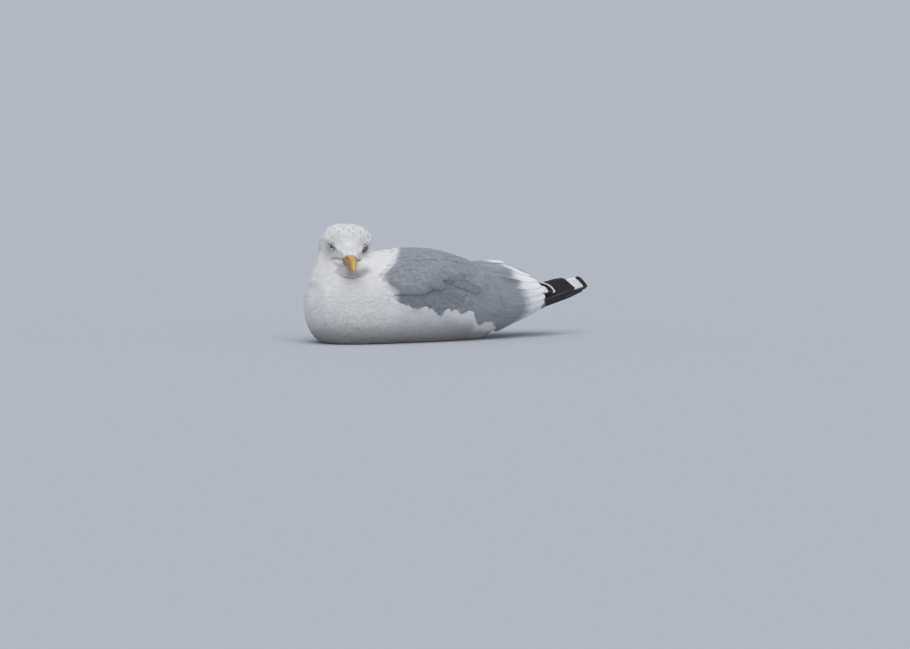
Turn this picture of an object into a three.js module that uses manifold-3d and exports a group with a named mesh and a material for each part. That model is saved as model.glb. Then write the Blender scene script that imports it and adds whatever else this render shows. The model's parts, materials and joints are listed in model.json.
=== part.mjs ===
// A herring gull at rest, life size, sitting on its belly with its wings folded and its head turned to its left.
// Millimetres, +Z up. The bird faces -X, its left side is -Y, and the origin is on the floor under the middle of
// the trunk. Each solid reaches out to the tips of the plumage.
import * as THREE from 'three';
import { mergeVertices } from 'three/addons/utils/BufferGeometryUtils.js';
import Module from 'manifold-3d';

const wasm = await Module();
wasm.setup();

// ---- Driving dimensions ----

const GAP = 0.4; // between two pieces that meet

const TRUNK = { front: -148, rear: 208, stations: 19, sides: 24 };
const NECK = { centreX: -90, low: 84, high: 128, stations: 6, sides: 20 };
const HEAD = {
  centre: [-88, 0, 133],
  turn: 68.5, // degrees to the bird's left
  nod: 4, // degrees, bill down
  lean: -3.5, // degrees, left side down
  back: -41,
  front: 39,
  stations: 17,
  sides: 22,
};
const EYE = { radius: 8, centre: [12.6, 19.2, 3] }; // in the head's frame, the left one
const BILL = { root: 29, upperTip: 89.5, lowerTip: 83, stations: 12, sides: 10 };
const HEAD_CUT = { x: -120, z: 100, slope: 0.43 }; // a thin sloping cut parts the head from the neck
const TRUNK_CUT = { x: -148, z: 72, slope: 0.4 }; // and another one the neck from the trunk
const WING = { front: -80, rear: 216, stations: 19, across: 8 };
const TAIL = { base: 120, tip: 246, halfWidth: 25, arch: 4, thickness: 3.6, height: 50, rise: 2 };
const LEG = { y: 26, ankleX: 44, footX: -22, radius: 4.2, toe: 56, spread: 17, web: 3.2 };

// ---- Curves through a few points ----

// A smooth function through [at, value] pairs, which never swings past its points.
function curve(points) {
  const slope = (i) => (points[i + 1][1] - points[i][1]) / (points[i + 1][0] - points[i][0]);
  const tangents = points.map((_, i) => {
    if (i === 0) return slope(0);
    if (i === points.length - 1) return slope(i - 1);
    const [before, after] = [slope(i - 1), slope(i)];
    return before * after <= 0 ? 0 : (2 * before * after) / (before + after);
  });
  return (at) => {
    const last = points.length - 2;
    let i = 0;
    while (i < last && at > points[i + 1][0]) i += 1;
    const span = points[i + 1][0] - points[i][0];
    const t = THREE.MathUtils.clamp((at - points[i][0]) / span, 0, 1);
    const [a, b] = [points[i][1], points[i + 1][1]];
    const [u, v] = [tangents[i] * span, tangents[i + 1] * span];
    return a + t * (u + t * (3 * (b - a) - 2 * u - v + t * (u + v - 2 * (b - a))));
  };
}

// Places from low to high, closer together towards both ends, where a body rounds off.
function roundedSteps(low, high, count) {
  return Array.from({ length: count }, (_, i) => {
    const even = i / (count - 1);
    const crowded = (1 - Math.cos(Math.PI * even)) / 2;
    return THREE.MathUtils.lerp(low, high, THREE.MathUtils.lerp(even, crowded, 0.7));
  });
}

// ---- Shapes ----

// A closed skin over rings that hold the same number of points, with both ends filled to their middles.
function loft(rings) {
  const sides = rings[0].length;
  const points = rings.flat();
  const faces = [];
  for (let r = 0; r + 1 < rings.length; r += 1) {
    for (let i = 0; i < sides; i += 1) {
      const a = r * sides + i;
      const b = r * sides + ((i + 1) % sides);
      faces.push(a, b, b + sides, a, b + sides, a + sides);
    }
  }
  for (const [ring, flip] of [[0, true], [rings.length - 1, false]]) {
    const middle = rings[ring].reduce((sum, p) => sum.add(p), new THREE.Vector3()).divideScalar(sides);
    const hub = points.push(middle) - 1;
    for (let i = 0; i < sides; i += 1) {
      const a = ring * sides + i;
      const b = ring * sides + ((i + 1) % sides);
      faces.push(...(flip ? [b, a, hub] : [a, b, hub]));
    }
  }
  return new THREE.BufferGeometry().setFromPoints(points).setIndex(faces);
}

// A point of an egg-shaped section. The section is widest at the height `widest`, and `fullness` 2 is an ellipse.
function eggPoint(at, angle, egg) {
  const [c, s] = [Math.cos(angle), Math.sin(angle)];
  const power = 2 / egg.fullness;
  const reach = s > 0 ? egg.top - egg.widest : egg.widest - egg.bottom;
  return new THREE.Vector3(
    at,
    egg.halfWidth * Math.sign(c) * Math.abs(c) ** power,
    egg.widest + reach * Math.sign(s) * Math.abs(s) ** power,
  );
}

function eggRing(at, sides, egg) {
  return Array.from({ length: sides }, (_, i) => eggPoint(at, (2 * Math.PI * (i + 0.5)) / sides, egg));
}

// One long feather: a thin lens that follows a curve from root to tip. `across` is the direction of its width, and
// `extra` makes it larger all round.
function feather({ root, bend, tip, across, halfWidth, thickness, extra }) {
  const spine = new THREE.QuadraticBezierCurve3(
    new THREE.Vector3(...root),
    new THREE.Vector3(...bend),
    new THREE.Vector3(...tip),
  );
  const wide = new THREE.Vector3(...across).normalize();
  const steps = [0, 0.25, 0.5, 0.72, 0.88, 0.97, 1];
  const rings = steps.map((t, i) => {
    const along = spine.getTangentAt(t);
    const beyond = i === 0 ? -extra : i === steps.length - 1 ? extra : 0;
    const centre = spine.getPointAt(t).addScaledVector(along, beyond);
    const taper = t < 0.6 ? 0.7 + 0.5 * t : Math.sqrt(1 - ((t - 0.6) / 0.42) ** 2);
    const width = halfWidth * taper + extra;
    const depth = thickness / 2 + extra;
    const thin = new THREE.Vector3().crossVectors(along, wide).normalize();
    return [[-1, 0], [-0.5, 1], [0.5, 1], [1, 0], [0.5, -1], [-0.5, -1]].map(([w, h]) =>
      centre.clone().addScaledVector(wide, w * width).addScaledVector(thin, h * depth));
  });
  return loft(rings);
}

// ---- Solids ----

// A closed mesh as a solid, facing out.
function solid(geometry) {
  const bare = geometry.clone();
  for (const name of Object.keys(bare.attributes)) if (name !== 'position') bare.deleteAttribute(name);
  const merged = mergeVertices(bare, 1e-4);
  const triVerts = new Uint32Array(merged.index.array);
  const make = () => new wasm.Manifold(
    new wasm.Mesh({ numProp: 3, vertProperties: merged.attributes.position.array, triVerts }),
  );
  const made = make();
  if (made.volume() > 0) return made;
  triVerts.reverse();
  return make();
}

// The solid a little larger all round, to cut its neighbours with. Each corner of a smooth one is pushed out until
// the faces that meet there have moved by the given length.
function swollen(made, by = GAP) {
  const geometry = geometryOf(made);
  const place = geometry.attributes.position;
  const corners = Array.from({ length: place.count }, (_, i) => new THREE.Vector3().fromBufferAttribute(place, i));
  const facing = corners.map(() => []);
  for (let f = 0; f < geometry.index.count; f += 3) {
    const around = [0, 1, 2].map((k) => geometry.index.getX(f + k));
    const normal = new THREE.Triangle(...around.map((i) => corners[i])).getNormal(new THREE.Vector3());
    around.forEach((i) => facing[i].push(normal));
  }
  corners.forEach((corner, i) => {
    const out = facing[i].reduce((sum, n) => sum.add(n), new THREE.Vector3()).normalize();
    const least = Math.min(...facing[i].map((n) => n.dot(out)));
    corner.addScaledVector(out, by / Math.max(least, 0.5));
    place.setXYZ(i, corner.x, corner.y, corner.z);
  });
  return solid(geometry);
}

function geometryOf(made) {
  const mesh = made.getMesh();
  const places = new Float32Array(mesh.numVert * 3);
  for (let i = 0; i < mesh.numVert; i += 1) {
    places.set(mesh.vertProperties.subarray(i * mesh.numProp, i * mesh.numProp + 3), i * 3);
  }
  return new THREE.BufferGeometry()
    .setAttribute('position', new THREE.BufferAttribute(places, 3))
    .setIndex(new THREE.BufferAttribute(mesh.triVerts, 1));
}

const joined = (solids) => solids.reduce((whole, next) => whole.add(next));
const without = (made, cutters) => cutters.reduce((left, cutter) => left.subtract(cutter), made);
const largest = (made) => made.decompose().reduce((a, b) => (b.volume() > a.volume() ? b : a));
const mirrored = (made) => made.mirror([0, 1, 0]);
const moved = (made, matrix) => made.transform(matrix.toArray());
const aboveFloor = (made) => made.trimByPlane([0, 0, 1], 0);

// ---- Trunk and neck ----

const trunkShape = {
  halfWidth: curve([
    [-148, 3], [-144, 24], [-135, 40], [-118, 54], [-85, 67], [-40, 73], [10, 74], [60, 69], [105, 57], [145, 42],
    [180, 28], [200, 15], [208, 3],
  ]),
  top: curve([
    [-148, 60], [-145, 78], [-138, 92], [-126, 102], [-105, 113], [-70, 123], [-30, 127], [30, 125], [75, 116],
    [120, 98], [165, 80], [208, 62],
  ]),
  widest: curve([[-148, 54], [-60, 56], [60, 56], [130, 58], [208, 52]]),
  bottom: curve([
    [-148, 48], [-145, 32], [-139, 17], [-130, 5], [-112, -7], [-70, -14], [30, -14], [95, -10], [120, -3],
    [142, 9], [165, 24], [188, 36], [208, 45],
  ]),
};

function makeTrunk() {
  const rings = roundedSteps(TRUNK.front, TRUNK.rear, TRUNK.stations).map((x) =>
    eggRing(x, TRUNK.sides, {
      halfWidth: trunkShape.halfWidth(x),
      top: trunkShape.top(x),
      widest: trunkShape.widest(x),
      bottom: trunkShape.bottom(x),
      fullness: 2.35,
    }));
  return aboveFloor(solid(loft(rings)));
}

// Reaches from the neck's middle line: to each side of the face, below the bill, and behind the head.
const neckShape = {
  side: curve([[84, 54], [95, 51.5], [102, 47.5], [108, 44.5], [115, 42.5], [122, 40], [128, 36]]),
  front: curve([[84, 53], [95, 48], [101, 41], [107, 30], [115, 16], [128, 4]]),
  back: curve([[84, 52], [95, 49], [108, 45], [118, 41], [128, 32]]),
};

function makeNeck() {
  const forward = THREE.MathUtils.degToRad(180 + HEAD.turn);
  const rings = roundedSteps(NECK.low, NECK.high, NECK.stations).map((z) =>
    Array.from({ length: NECK.sides }, (_, i) => {
      const angle = (2 * Math.PI * i) / NECK.sides;
      const ahead = Math.cos(angle) * (Math.cos(angle) > 0 ? neckShape.front(z) : neckShape.back(z));
      const aside = Math.sin(angle) * neckShape.side(z);
      return new THREE.Vector3(ahead, aside, z)
        .applyAxisAngle(new THREE.Vector3(0, 0, 1), forward)
        .add(new THREE.Vector3(NECK.centreX, 0, 0));
    }));
  return solid(loft(rings));
}

// ---- Head, in its own frame: the bill points to +X, the left side is +Y, and the origin is mid-skull ----

const headShape = {
  halfWidth: curve([
    [-41, 4], [-38, 17], [-31, 28], [-20, 36], [-7, 39.5], [3, 35], [10, 28.5], [15, 24.5], [20, 20.5], [26, 16.5],
    [33, 12.5], [39, 9],
  ]),
  top: curve([
    [-41, 5], [-38, 17], [-30, 26], [-18, 32], [-5, 33.8], [8, 31.5], [17, 25.8], [25, 17], [32, 7.5], [36, 2],
    [39, -2.5],
  ]),
  widest: curve([[-41, 0], [-10, -5], [14, -5], [39, -12]]),
  bottom: curve([
    [-41, -6], [-38, -18], [-30, -28], [-15, -34], [5, -36], [18, -33], [28, -28], [36, -23.5], [39, -21],
  ]),
};

function makeHead() {
  const rings = roundedSteps(HEAD.back, HEAD.front, HEAD.stations).map((x) =>
    eggRing(x, HEAD.sides, {
      halfWidth: headShape.halfWidth(x),
      top: headShape.top(x),
      widest: headShape.widest(x),
      bottom: headShape.bottom(x),
      fullness: 2.6,
    }));
  return solid(loft(rings));
}

const headPlace = new THREE.Matrix4().compose(
  new THREE.Vector3(...HEAD.centre),
  new THREE.Quaternion().setFromEuler(new THREE.Euler(
    THREE.MathUtils.degToRad(HEAD.lean),
    THREE.MathUtils.degToRad(HEAD.nod),
    THREE.MathUtils.degToRad(180 + HEAD.turn),
    'ZYX',
  )),
  new THREE.Vector3(1, 1, 1),
);

const makeEye = () =>
  moved(solid(new THREE.SphereGeometry(EYE.radius, 14, 10)), new THREE.Matrix4().makeTranslation(...EYE.centre));

// ---- Bill, in the head's frame ----

const upperShape = {
  halfWidth: curve([[29, 10.6], [37, 10], [46, 8.6], [56, 7.6], [68, 6.3], [78, 4.7], [86, 2.5], [89.5, 0.7]]),
  top: curve([[29, -1.5], [39, -3.2], [52, -4.2], [64, -4.6], [74, -6.4], [82, -10.6], [87, -16], [89.5, -20.6]]),
  tomium: curve([[29, -13.2], [50, -13.6], [66, -14.4], [76, -15.6], [84, -18.6], [89.5, -22.4]]),
};
const lowerShape = {
  halfWidth: curve([[29, 9.8], [37, 9.2], [46, 7.9], [56, 6.8], [68, 5.3], [77, 3.2], [83, 0.7]]),
  top: curve([[29, -13.8], [50, -14.2], [66, -15], [76, -16.3], [83, -18.6]]),
  bottom: curve([[29, -22], [45, -22.2], [56, -23], [63, -24.6], [70, -23.4], [77, -20.8], [83, -19.2]]),
};

// The upper half is a roof with a round ridge over a flat cutting edge, and the lower half a keel under one.
function makeBill(shape, tip, ridge, edge) {
  const rings = roundedSteps(BILL.root, tip, BILL.stations).map((x) =>
    Array.from({ length: BILL.sides }, (_, i) => {
      const angle = (Math.PI * i) / (BILL.sides - 1);
      return new THREE.Vector3(
        x,
        shape.halfWidth(x) * Math.cos(angle),
        THREE.MathUtils.lerp(edge(x), ridge(x), Math.sin(angle) ** 0.85),
      );
    }));
  return solid(loft(rings));
}

// ---- Folded wing, the left one ----

const wingShape = {
  halfWidth: curve([
    [-80, 67], [-55, 74], [-20, 80], [20, 81], [60, 77], [100, 69], [137, 60], [160, 52], [190, 44], [216, 38],
  ]),
  top: curve([
    [-80, 115], [-45, 126], [-10, 130], [35, 129.5], [75, 121], [105, 111], [118, 106.5], [130, 108.5], [146, 110],
    [171, 102], [200, 89], [216, 78],
  ]),
  widest: curve([[-80, 60], [40, 58], [120, 52], [216, 53]]),
  bottom: curve([[-80, -4], [30, -12], [90, -9], [120, -4], [137, 2], [160, 13], [190, 22], [216, 30]]),
  // the angles of its upper and lower edges, in degrees
  high: curve([[-80, 40], [-60, 62], [-30, 72], [10, 80], [60, 84], [216, 82]]),
  low: curve([
    [-80, 33], [-70, 12], [-55, -3], [-20, -8], [20, -17], [60, -30], [100, -44], [137, -50], [165, -38], [216, -33],
  ]),
  thick: curve([[-80, 2.5], [-60, 9], [-20, 12], [40, 12], [90, 10], [140, 7], [180, 5], [216, 3]]),
};

function makeWing() {
  const rings = roundedSteps(WING.front, WING.rear, WING.stations).map((x) => {
    const egg = {
      halfWidth: wingShape.halfWidth(x),
      top: wingShape.top(x),
      widest: wingShape.widest(x),
      bottom: wingShape.bottom(x),
      fullness: 2.35,
    };
    const outer = [];
    const inner = [];
    for (let i = 0; i < WING.across; i += 1) {
      const share = i / (WING.across - 1);
      const angle = THREE.MathUtils.degToRad(THREE.MathUtils.lerp(wingShape.high(x), wingShape.low(x), share));
      const skin = eggPoint(x, angle, egg);
      const inward = new THREE.Vector3(0, skin.y, skin.z - egg.widest).normalize();
      const arch = Math.sin(Math.PI * THREE.MathUtils.clamp(share, 0.06, 0.94)) ** 0.6;
      const depth = Math.max(1, wingShape.thick(x) * arch);
      outer.push(skin);
      inner.unshift(skin.clone().addScaledVector(inward, -depth));
    }
    return [...outer, ...inner];
  });
  return mirrored(solid(loft(rings)));
}

// ---- Long feathers of the left wing's hand, from the longest, outermost one inwards ----

const PRIMARIES = [
  { tip: [300, -10, 71], bend: [222, -35, 49], halfWidth: 9.5 },
  { tip: [297, -10, 75], bend: [220, -34, 57], halfWidth: 10.5 },
  { tip: [277, -15, 66], bend: [214, -33, 70], halfWidth: 13.5 },
  { tip: [238, -25, 64], bend: [200, -31, 68], halfWidth: 11.5 },
  { tip: [225, -28, 62], bend: [188, -30, 62], halfWidth: 12 },
];
const PRIMARY = { root: [150, -30, 31], step: 3, thickness: 2.4, across: [0.05, 0.4, 1] };
const NEAR_HAND = { tip: 0, bend: 0 }; // raised by this much
const FAR_HAND = { tip: 2, bend: -8 };

// `extra` makes each feather larger all round.
function makePrimaries(raised, extra = 0) {
  const { root, step, thickness, across } = PRIMARY;
  return joined(PRIMARIES.map(({ tip, bend, halfWidth }, i) => solid(feather({
    root: [root[0], root[1], root[2] + i * step],
    bend: [bend[0], bend[1], bend[2] + raised.bend],
    tip: [tip[0], tip[1], tip[2] + raised.tip],
    across,
    halfWidth,
    thickness,
    extra,
  }))));
}

// ---- Tail: a closed fan with a round end ----

function makeTail() {
  const across = 9;
  const steps = [0, 0.2, 0.4, 0.6, 0.8, 0.92, 0.98, 1];
  const rings = steps.map((t) => {
    const x = THREE.MathUtils.lerp(TAIL.base, TAIL.tip, t);
    const end = t > 0.8 ? Math.sqrt(1 - ((t - 0.8) / 0.205) ** 2 * 0.75) : 1;
    const half = TAIL.halfWidth * (0.72 + 0.28 * t) * end;
    const level = TAIL.height + TAIL.rise * t;
    const row = (lift) => Array.from({ length: across }, (_, i) => {
      const side = -1 + (2 * i) / (across - 1);
      return new THREE.Vector3(x, side * half, level - TAIL.arch * side * side + lift * (1 - 0.6 * side * side));
    });
    return [...row(TAIL.thickness / 2), ...row(-TAIL.thickness / 2).reverse()];
  });
  return solid(loft(rings));
}

// ---- Leg and foot, the left ones, folded flat under the belly ----

// A bar from one point to another that thins towards its end.
function bar(from, to, startRadius, endRadius) {
  const [a, b] = [new THREE.Vector3(...from), new THREE.Vector3(...to)];
  const way = b.clone().sub(a);
  const turn = new THREE.Quaternion().setFromUnitVectors(new THREE.Vector3(0, 1, 0), way.clone().normalize());
  const geometry = new THREE.CapsuleGeometry(1, way.length(), 2, 8, 1);
  const place = geometry.attributes.position;
  for (let i = 0; i < place.count; i += 1) {
    const share = THREE.MathUtils.clamp(place.getY(i) / way.length() + 0.5, 0, 1);
    const radius = THREE.MathUtils.lerp(startRadius, endRadius, share);
    place.setX(i, place.getX(i) * radius);
    place.setZ(i, place.getZ(i) * radius);
  }
  geometry.applyQuaternion(turn);
  const middle = a.add(b).divideScalar(2);
  return solid(geometry.translate(middle.x, middle.y, middle.z));
}

function makeShank() {
  const low = LEG.radius - 0.6; // the underside is pressed flat on the floor
  return aboveFloor(bar([LEG.footX + 9, -LEG.y, low], [LEG.ankleX, -LEG.y, low + 1], LEG.radius, LEG.radius + 1.4));
}

// A flat shape with the given corners, each as far behind the heel and beside it as stated, the same on both sides.
function plate(corners, bottom, height) {
  const sides = [...corners, ...corners.map(([along, aside]) => [along, -aside]).reverse()];
  const outline = sides.map(([along, aside]) => new THREE.Vector2(LEG.footX + along, -LEG.y + aside));
  const geometry = new THREE.ExtrudeGeometry(new THREE.Shape(outline), { depth: height, bevelEnabled: false });
  return solid(geometry.translate(0, 0, bottom));
}

function makeFoot() {
  const { toe, spread, web } = LEG;
  const toes = [-1, 0, 1].map((side) => bar(
    [LEG.footX, -LEG.y, web],
    [LEG.footX - toe * (side ? 0.88 : 1), -LEG.y + side * spread, web - 0.8],
    3.6,
    2.2,
  ));
  const outline = [[2, 1], [-0.82 * toe, 0.84 * spread], [-0.84 * toe, 0.42 * spread], [-0.93 * toe, 1]];
  const skin = plate(outline, 0, web / 2);
  return aboveFloor(joined([...toes, skin]));
}

// The hollow that the foot lies in, under the belly.
function makeFootSeat() {
  const { toe, spread, web } = LEG;
  return plate([[4.6, 5], [-0.88 * toe - 3.4, spread + 4.4], [-toe - 3.4, 8]], -5, web + 9.2);
}

// ---- Assembly: the flesh is one body, in which the hard-edged pieces cut their seats, and thin cuts part it ----

const inPlace = (made) => moved(made, headPlace);
const [upperBill, lowerBill] = [
  inPlace(makeBill(upperShape, BILL.upperTip, upperShape.top, upperShape.tomium)),
  inPlace(makeBill(lowerShape, BILL.lowerTip, lowerShape.bottom, lowerShape.top)),
];
const [leftEye, rightEye] = [makeEye(), mirrored(makeEye())].map(inPlace);
const headSeats = [upperBill, lowerBill, leftEye, rightEye].map((made) => swollen(made));

const [shank, foot, tail] = [makeShank(), makeFoot(), makeTail()];
const [shankSeat, footSeat, tailSeat] = [swollen(shank), makeFootSeat(), swollen(tail)];
const head = inPlace(makeHead());
const headSeat = swollen(head, 1);
const wing = makeWing();

// One side's hand and wing, and the seats that they and its leg need. `place` puts the left one where it belongs.
function makeSide(raised, place) {
  const handSeat = makePrimaries(raised, GAP);
  return {
    hand: place(without(makePrimaries(raised), [tailSeat])),
    wing: without(place(without(wing, [handSeat, tailSeat])), [headSeat]),
    seats: [swollen(wing), handSeat, shankSeat, footSeat].map(place),
  };
}
const left = makeSide(NEAR_HAND, (made) => made);
const right = makeSide(FAR_HAND, mirrored);

const seats = [...headSeats, tailSeat, ...left.seats, ...right.seats];
const flesh = without(joined([makeTrunk(), makeNeck(), head]), seats);

// The part of a solid above or below a sloping cut, which rises towards the tail.
function parted(made, cut, side) {
  const normal = new THREE.Vector3(-cut.slope, 0, 1).normalize();
  const offset = normal.dot(new THREE.Vector3(cut.x, 0, cut.z));
  return made.trimByPlane(normal.multiplyScalar(side).toArray(), side * offset + GAP / 2);
}

const paints = {
  white: new THREE.MeshStandardMaterial({ color: '#e9ebee', roughness: 0.85 }),
  grey: new THREE.MeshStandardMaterial({ color: '#8d959f', roughness: 0.8 }),
  black: new THREE.MeshStandardMaterial({ color: '#17151a', roughness: 0.6 }),
  yellow: new THREE.MeshStandardMaterial({ color: '#dca52a', roughness: 0.4 }),
  eye: new THREE.MeshStandardMaterial({ color: '#d8cf9e', roughness: 0.05 }),
  pink: new THREE.MeshStandardMaterial({ color: '#d3a098', roughness: 0.6 }),
};

function piece(name, made, paint) {
  const mesh = new THREE.Mesh(geometryOf(largest(made)), paints[paint]);
  mesh.geometry.computeVertexNormals();
  mesh.name = name;
  return mesh;
}

const gull = new THREE.Group();
gull.add(
  piece('head', parted(flesh, HEAD_CUT, 1), 'white'),
  piece('bill_upper', upperBill, 'yellow'),
  piece('bill_lower', lowerBill, 'yellow'),
  piece('eye_left', leftEye, 'eye'),
  piece('eye_right', rightEye, 'eye'),
  piece('neck', parted(parted(flesh, HEAD_CUT, -1), TRUNK_CUT, 1), 'white'),
  piece('trunk', parted(flesh, TRUNK_CUT, -1), 'white'),
  piece('wing_left', left.wing, 'grey'),
  piece('wing_right', right.wing, 'grey'),
  piece('primaries_left', left.hand, 'black'),
  piece('primaries_right', right.hand, 'black'),
  piece('tail', tail, 'white'),
  piece('leg_left', without(shank, [footSeat]), 'pink'),
  piece('leg_right', mirrored(without(shank, [footSeat])), 'pink'),
  piece('foot_left', foot, 'pink'),
  piece('foot_right', mirrored(foot), 'pink'),
);

export default gull;
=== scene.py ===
# %% [markdown]
# # A herring gull at rest
#
# The bird sits on its belly with its wings folded and its head turned to its left. The solids of the CAD
# model give its outline. Here they get what a museum would want to see: a skin, a coat of separate
# feathers, long quills in the wings and tail, and a careful head. The frame is loaded first, because every
# piece is placed by it.

# %% Load the frame
import heapq
import json
import math

import bpy
import numpy as np
from mathutils import Matrix, Vector
from mathutils.bvhtree import BVHTree
from mathutils.interpolate import poly_3d_calc

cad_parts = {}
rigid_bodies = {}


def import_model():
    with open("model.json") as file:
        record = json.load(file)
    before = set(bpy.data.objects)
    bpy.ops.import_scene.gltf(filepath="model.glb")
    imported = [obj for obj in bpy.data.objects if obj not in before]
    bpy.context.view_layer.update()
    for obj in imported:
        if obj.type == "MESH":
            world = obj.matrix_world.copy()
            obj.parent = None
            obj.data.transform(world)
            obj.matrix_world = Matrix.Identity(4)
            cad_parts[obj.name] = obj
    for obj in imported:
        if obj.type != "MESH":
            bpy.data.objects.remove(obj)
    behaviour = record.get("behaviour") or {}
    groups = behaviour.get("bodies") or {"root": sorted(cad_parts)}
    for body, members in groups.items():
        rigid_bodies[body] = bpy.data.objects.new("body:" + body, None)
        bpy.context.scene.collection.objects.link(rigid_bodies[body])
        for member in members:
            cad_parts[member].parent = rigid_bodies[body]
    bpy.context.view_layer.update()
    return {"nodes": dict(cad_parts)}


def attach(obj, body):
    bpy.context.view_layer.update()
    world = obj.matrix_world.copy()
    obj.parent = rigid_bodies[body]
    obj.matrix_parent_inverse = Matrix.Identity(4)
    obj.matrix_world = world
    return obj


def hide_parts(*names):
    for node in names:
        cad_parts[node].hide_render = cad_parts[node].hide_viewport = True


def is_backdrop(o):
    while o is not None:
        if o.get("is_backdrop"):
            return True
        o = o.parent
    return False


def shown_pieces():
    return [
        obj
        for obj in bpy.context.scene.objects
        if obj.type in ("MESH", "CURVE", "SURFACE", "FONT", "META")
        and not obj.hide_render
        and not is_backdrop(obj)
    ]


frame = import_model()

MM = 0.001

# %% [markdown]
# The head has a frame of its own: the bill points along +X and the bird's left is +Y. A length that is
# known on the head, such as the place of an eye, is much easier to state there than in the turned head's
# final place.

# %% The head's own frame
HEAD = (
    Matrix.Translation(Vector((-88, 0, 133)) * MM)
    @ Matrix.Rotation(math.radians(180 + 68.5), 4, "Z")
    @ Matrix.Rotation(math.radians(4), 4, "Y")
    @ Matrix.Rotation(math.radians(-3.5), 4, "X")
)
TO_HEAD = HEAD.inverted()
EYE_RADIUS = 8.0
EYE_CENTRES = {"left": Vector((12.6, 19.2, 3.0)), "right": Vector((12.6, -19.2, 3.0))}
EYE_AXES = {"left": Vector((0.66, 0.75, 0.0)).normalized(), "right": Vector((0.66, -0.75, 0.0)).normalized()}
LID_UP = {"left": Vector((0.42, -0.36, 0.83)).normalized(), "right": Vector((0.42, 0.36, 0.83)).normalized()}
LID_HEIGHT = {"left": -2.2, "right": 0.7}  # of the upper lid's edge over the middle of the eye, along LID_UP
BILL_BASE = Vector((36.0, 0.0, -12.0))
BILL_TIP = Vector((89.0, 0.0, -21.0))


def in_world(point_mm):
    """A point of the head's frame, in millimetres, as a place in the scene."""
    return HEAD @ (Vector(point_mm) * MM)


def in_head(points):
    """Places in the scene, one a row, as millimetres in the head's frame."""
    turn = np.array(TO_HEAD.to_3x3())
    return (points @ turn.T + np.array(TO_HEAD.translation)) / MM


def lid_plane(side):
    """A place on the edge of the upper lid, and the way up across that edge, in the scene."""
    up = HEAD.to_3x3() @ LID_UP[side]
    return in_world(EYE_CENTRES[side] + EYE_AXES[side] * EYE_RADIUS) + up * LID_HEIGHT[side] * MM, up


print("bill tip, m:", tuple(round(c, 4) for c in in_world(BILL_TIP)))


# %% [markdown]
# Blender's operators act on whatever is selected, and the CAD nodes start out selected. These few helpers
# keep that in hand: one selects exactly what is named, one adds and applies a modifier, and one copies CAD
# nodes. The nodes themselves are never touched.

# %% Helpers for objects
def only(*objects):
    """Selects these objects and nothing else, and makes the first one active."""
    bpy.ops.object.select_all(action="DESELECT")
    for each in objects:
        each.select_set(True)
    bpy.context.view_layer.objects.active = objects[0]
    return objects[0]


def modify(piece, kind, **settings):
    """Adds a modifier with these settings and applies it."""
    only(piece)
    modifier = piece.modifiers.new(kind.title(), kind)
    for name, value in settings.items():
        setattr(modifier, name, value)
    bpy.ops.object.modifier_apply(modifier=modifier.name)
    return piece


def copy_of(nodes, name, swell=0.0):
    """One object from copies of CAD nodes, their doubles merged, each swollen by some millimetres."""
    copies = []
    for node in nodes:
        copy = bpy.data.objects.new(f"{node}_copy", frame["nodes"][node].data.copy())
        bpy.context.collection.objects.link(copy)
        only(copy)
        bpy.ops.object.mode_set(mode="EDIT")
        bpy.ops.mesh.select_all(action="SELECT")
        bpy.ops.mesh.remove_doubles(threshold=0.01 * MM)
        bpy.ops.object.mode_set(mode="OBJECT")
        if swell:
            modify(copy, "DISPLACE", strength=swell * MM, mid_level=0)
        copies.append(copy)
    whole = only(*copies)
    if len(copies) > 1:
        bpy.ops.object.join()
    whole.name = whole.data.name = name
    return whole


def outer_shell(piece):
    """Drops the small closed voids that a remesh leaves between two solids."""
    only(piece)
    bpy.ops.object.mode_set(mode="EDIT")
    bpy.ops.mesh.select_mode(type="VERT")
    bpy.ops.mesh.select_all(action="DESELECT")
    bpy.ops.object.mode_set(mode="OBJECT")
    max(piece.data.vertices, key=lambda vertex: vertex.co.x).select = True
    bpy.ops.object.mode_set(mode="EDIT")
    bpy.ops.mesh.select_linked()
    bpy.ops.mesh.select_all(action="INVERT")
    bpy.ops.mesh.delete(type="VERT")
    bpy.ops.object.mode_set(mode="OBJECT")
    return piece


def remeshed(piece, voxel, smooth):
    """One closed skin round everything in a piece, with steps of `voxel` millimetres, then smoothed."""
    modify(piece, "REMESH", mode="VOXEL", voxel_size=voxel * MM, use_smooth_shade=True)
    outer_shell(piece)
    return modify(piece, "SMOOTH", factor=0.5, iterations=smooth)


def arrays_of(piece):
    """A mesh's points, its corner normals and its four-sided faces as arrays."""
    mesh = piece.data
    points = np.empty(len(mesh.vertices) * 3)
    mesh.vertices.foreach_get("co", points)
    normals = np.empty(len(mesh.vertices) * 3)
    mesh.vertices.foreach_get("normal", normals)
    faces = np.array([list(face.vertices)[:4] for face in mesh.polygons if len(face.vertices) >= 4])
    return points.reshape(-1, 3), normals.reshape(-1, 3), faces


def with_points(piece, points):
    """Puts new points into a mesh."""
    piece.data.vertices.foreach_set("co", points.ravel())
    piece.data.update()
    return piece


def tree_of(piece):
    """A tree for finding the nearest point of a piece."""
    return BVHTree.FromObject(piece, bpy.context.evaluated_depsgraph_get())


# %% [markdown]
# A coat is easiest to lay on one closed form that runs through every node, out to where the feather tips
# reach. It is only a guide, so it goes again at the end. Each node is swollen a little before the remesh,
# so that the thin cuts between them close up.

# %% The guide form
SWELL, VOXEL = 0.3, 2.4  # millimetres
WINGS = ["wing_left", "wing_right"]
BILL = ["bill_upper", "bill_lower"]
FEET = ["leg_left", "leg_right", "foot_left", "foot_right"]
FLESH = ["head", "neck", "trunk"]

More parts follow.
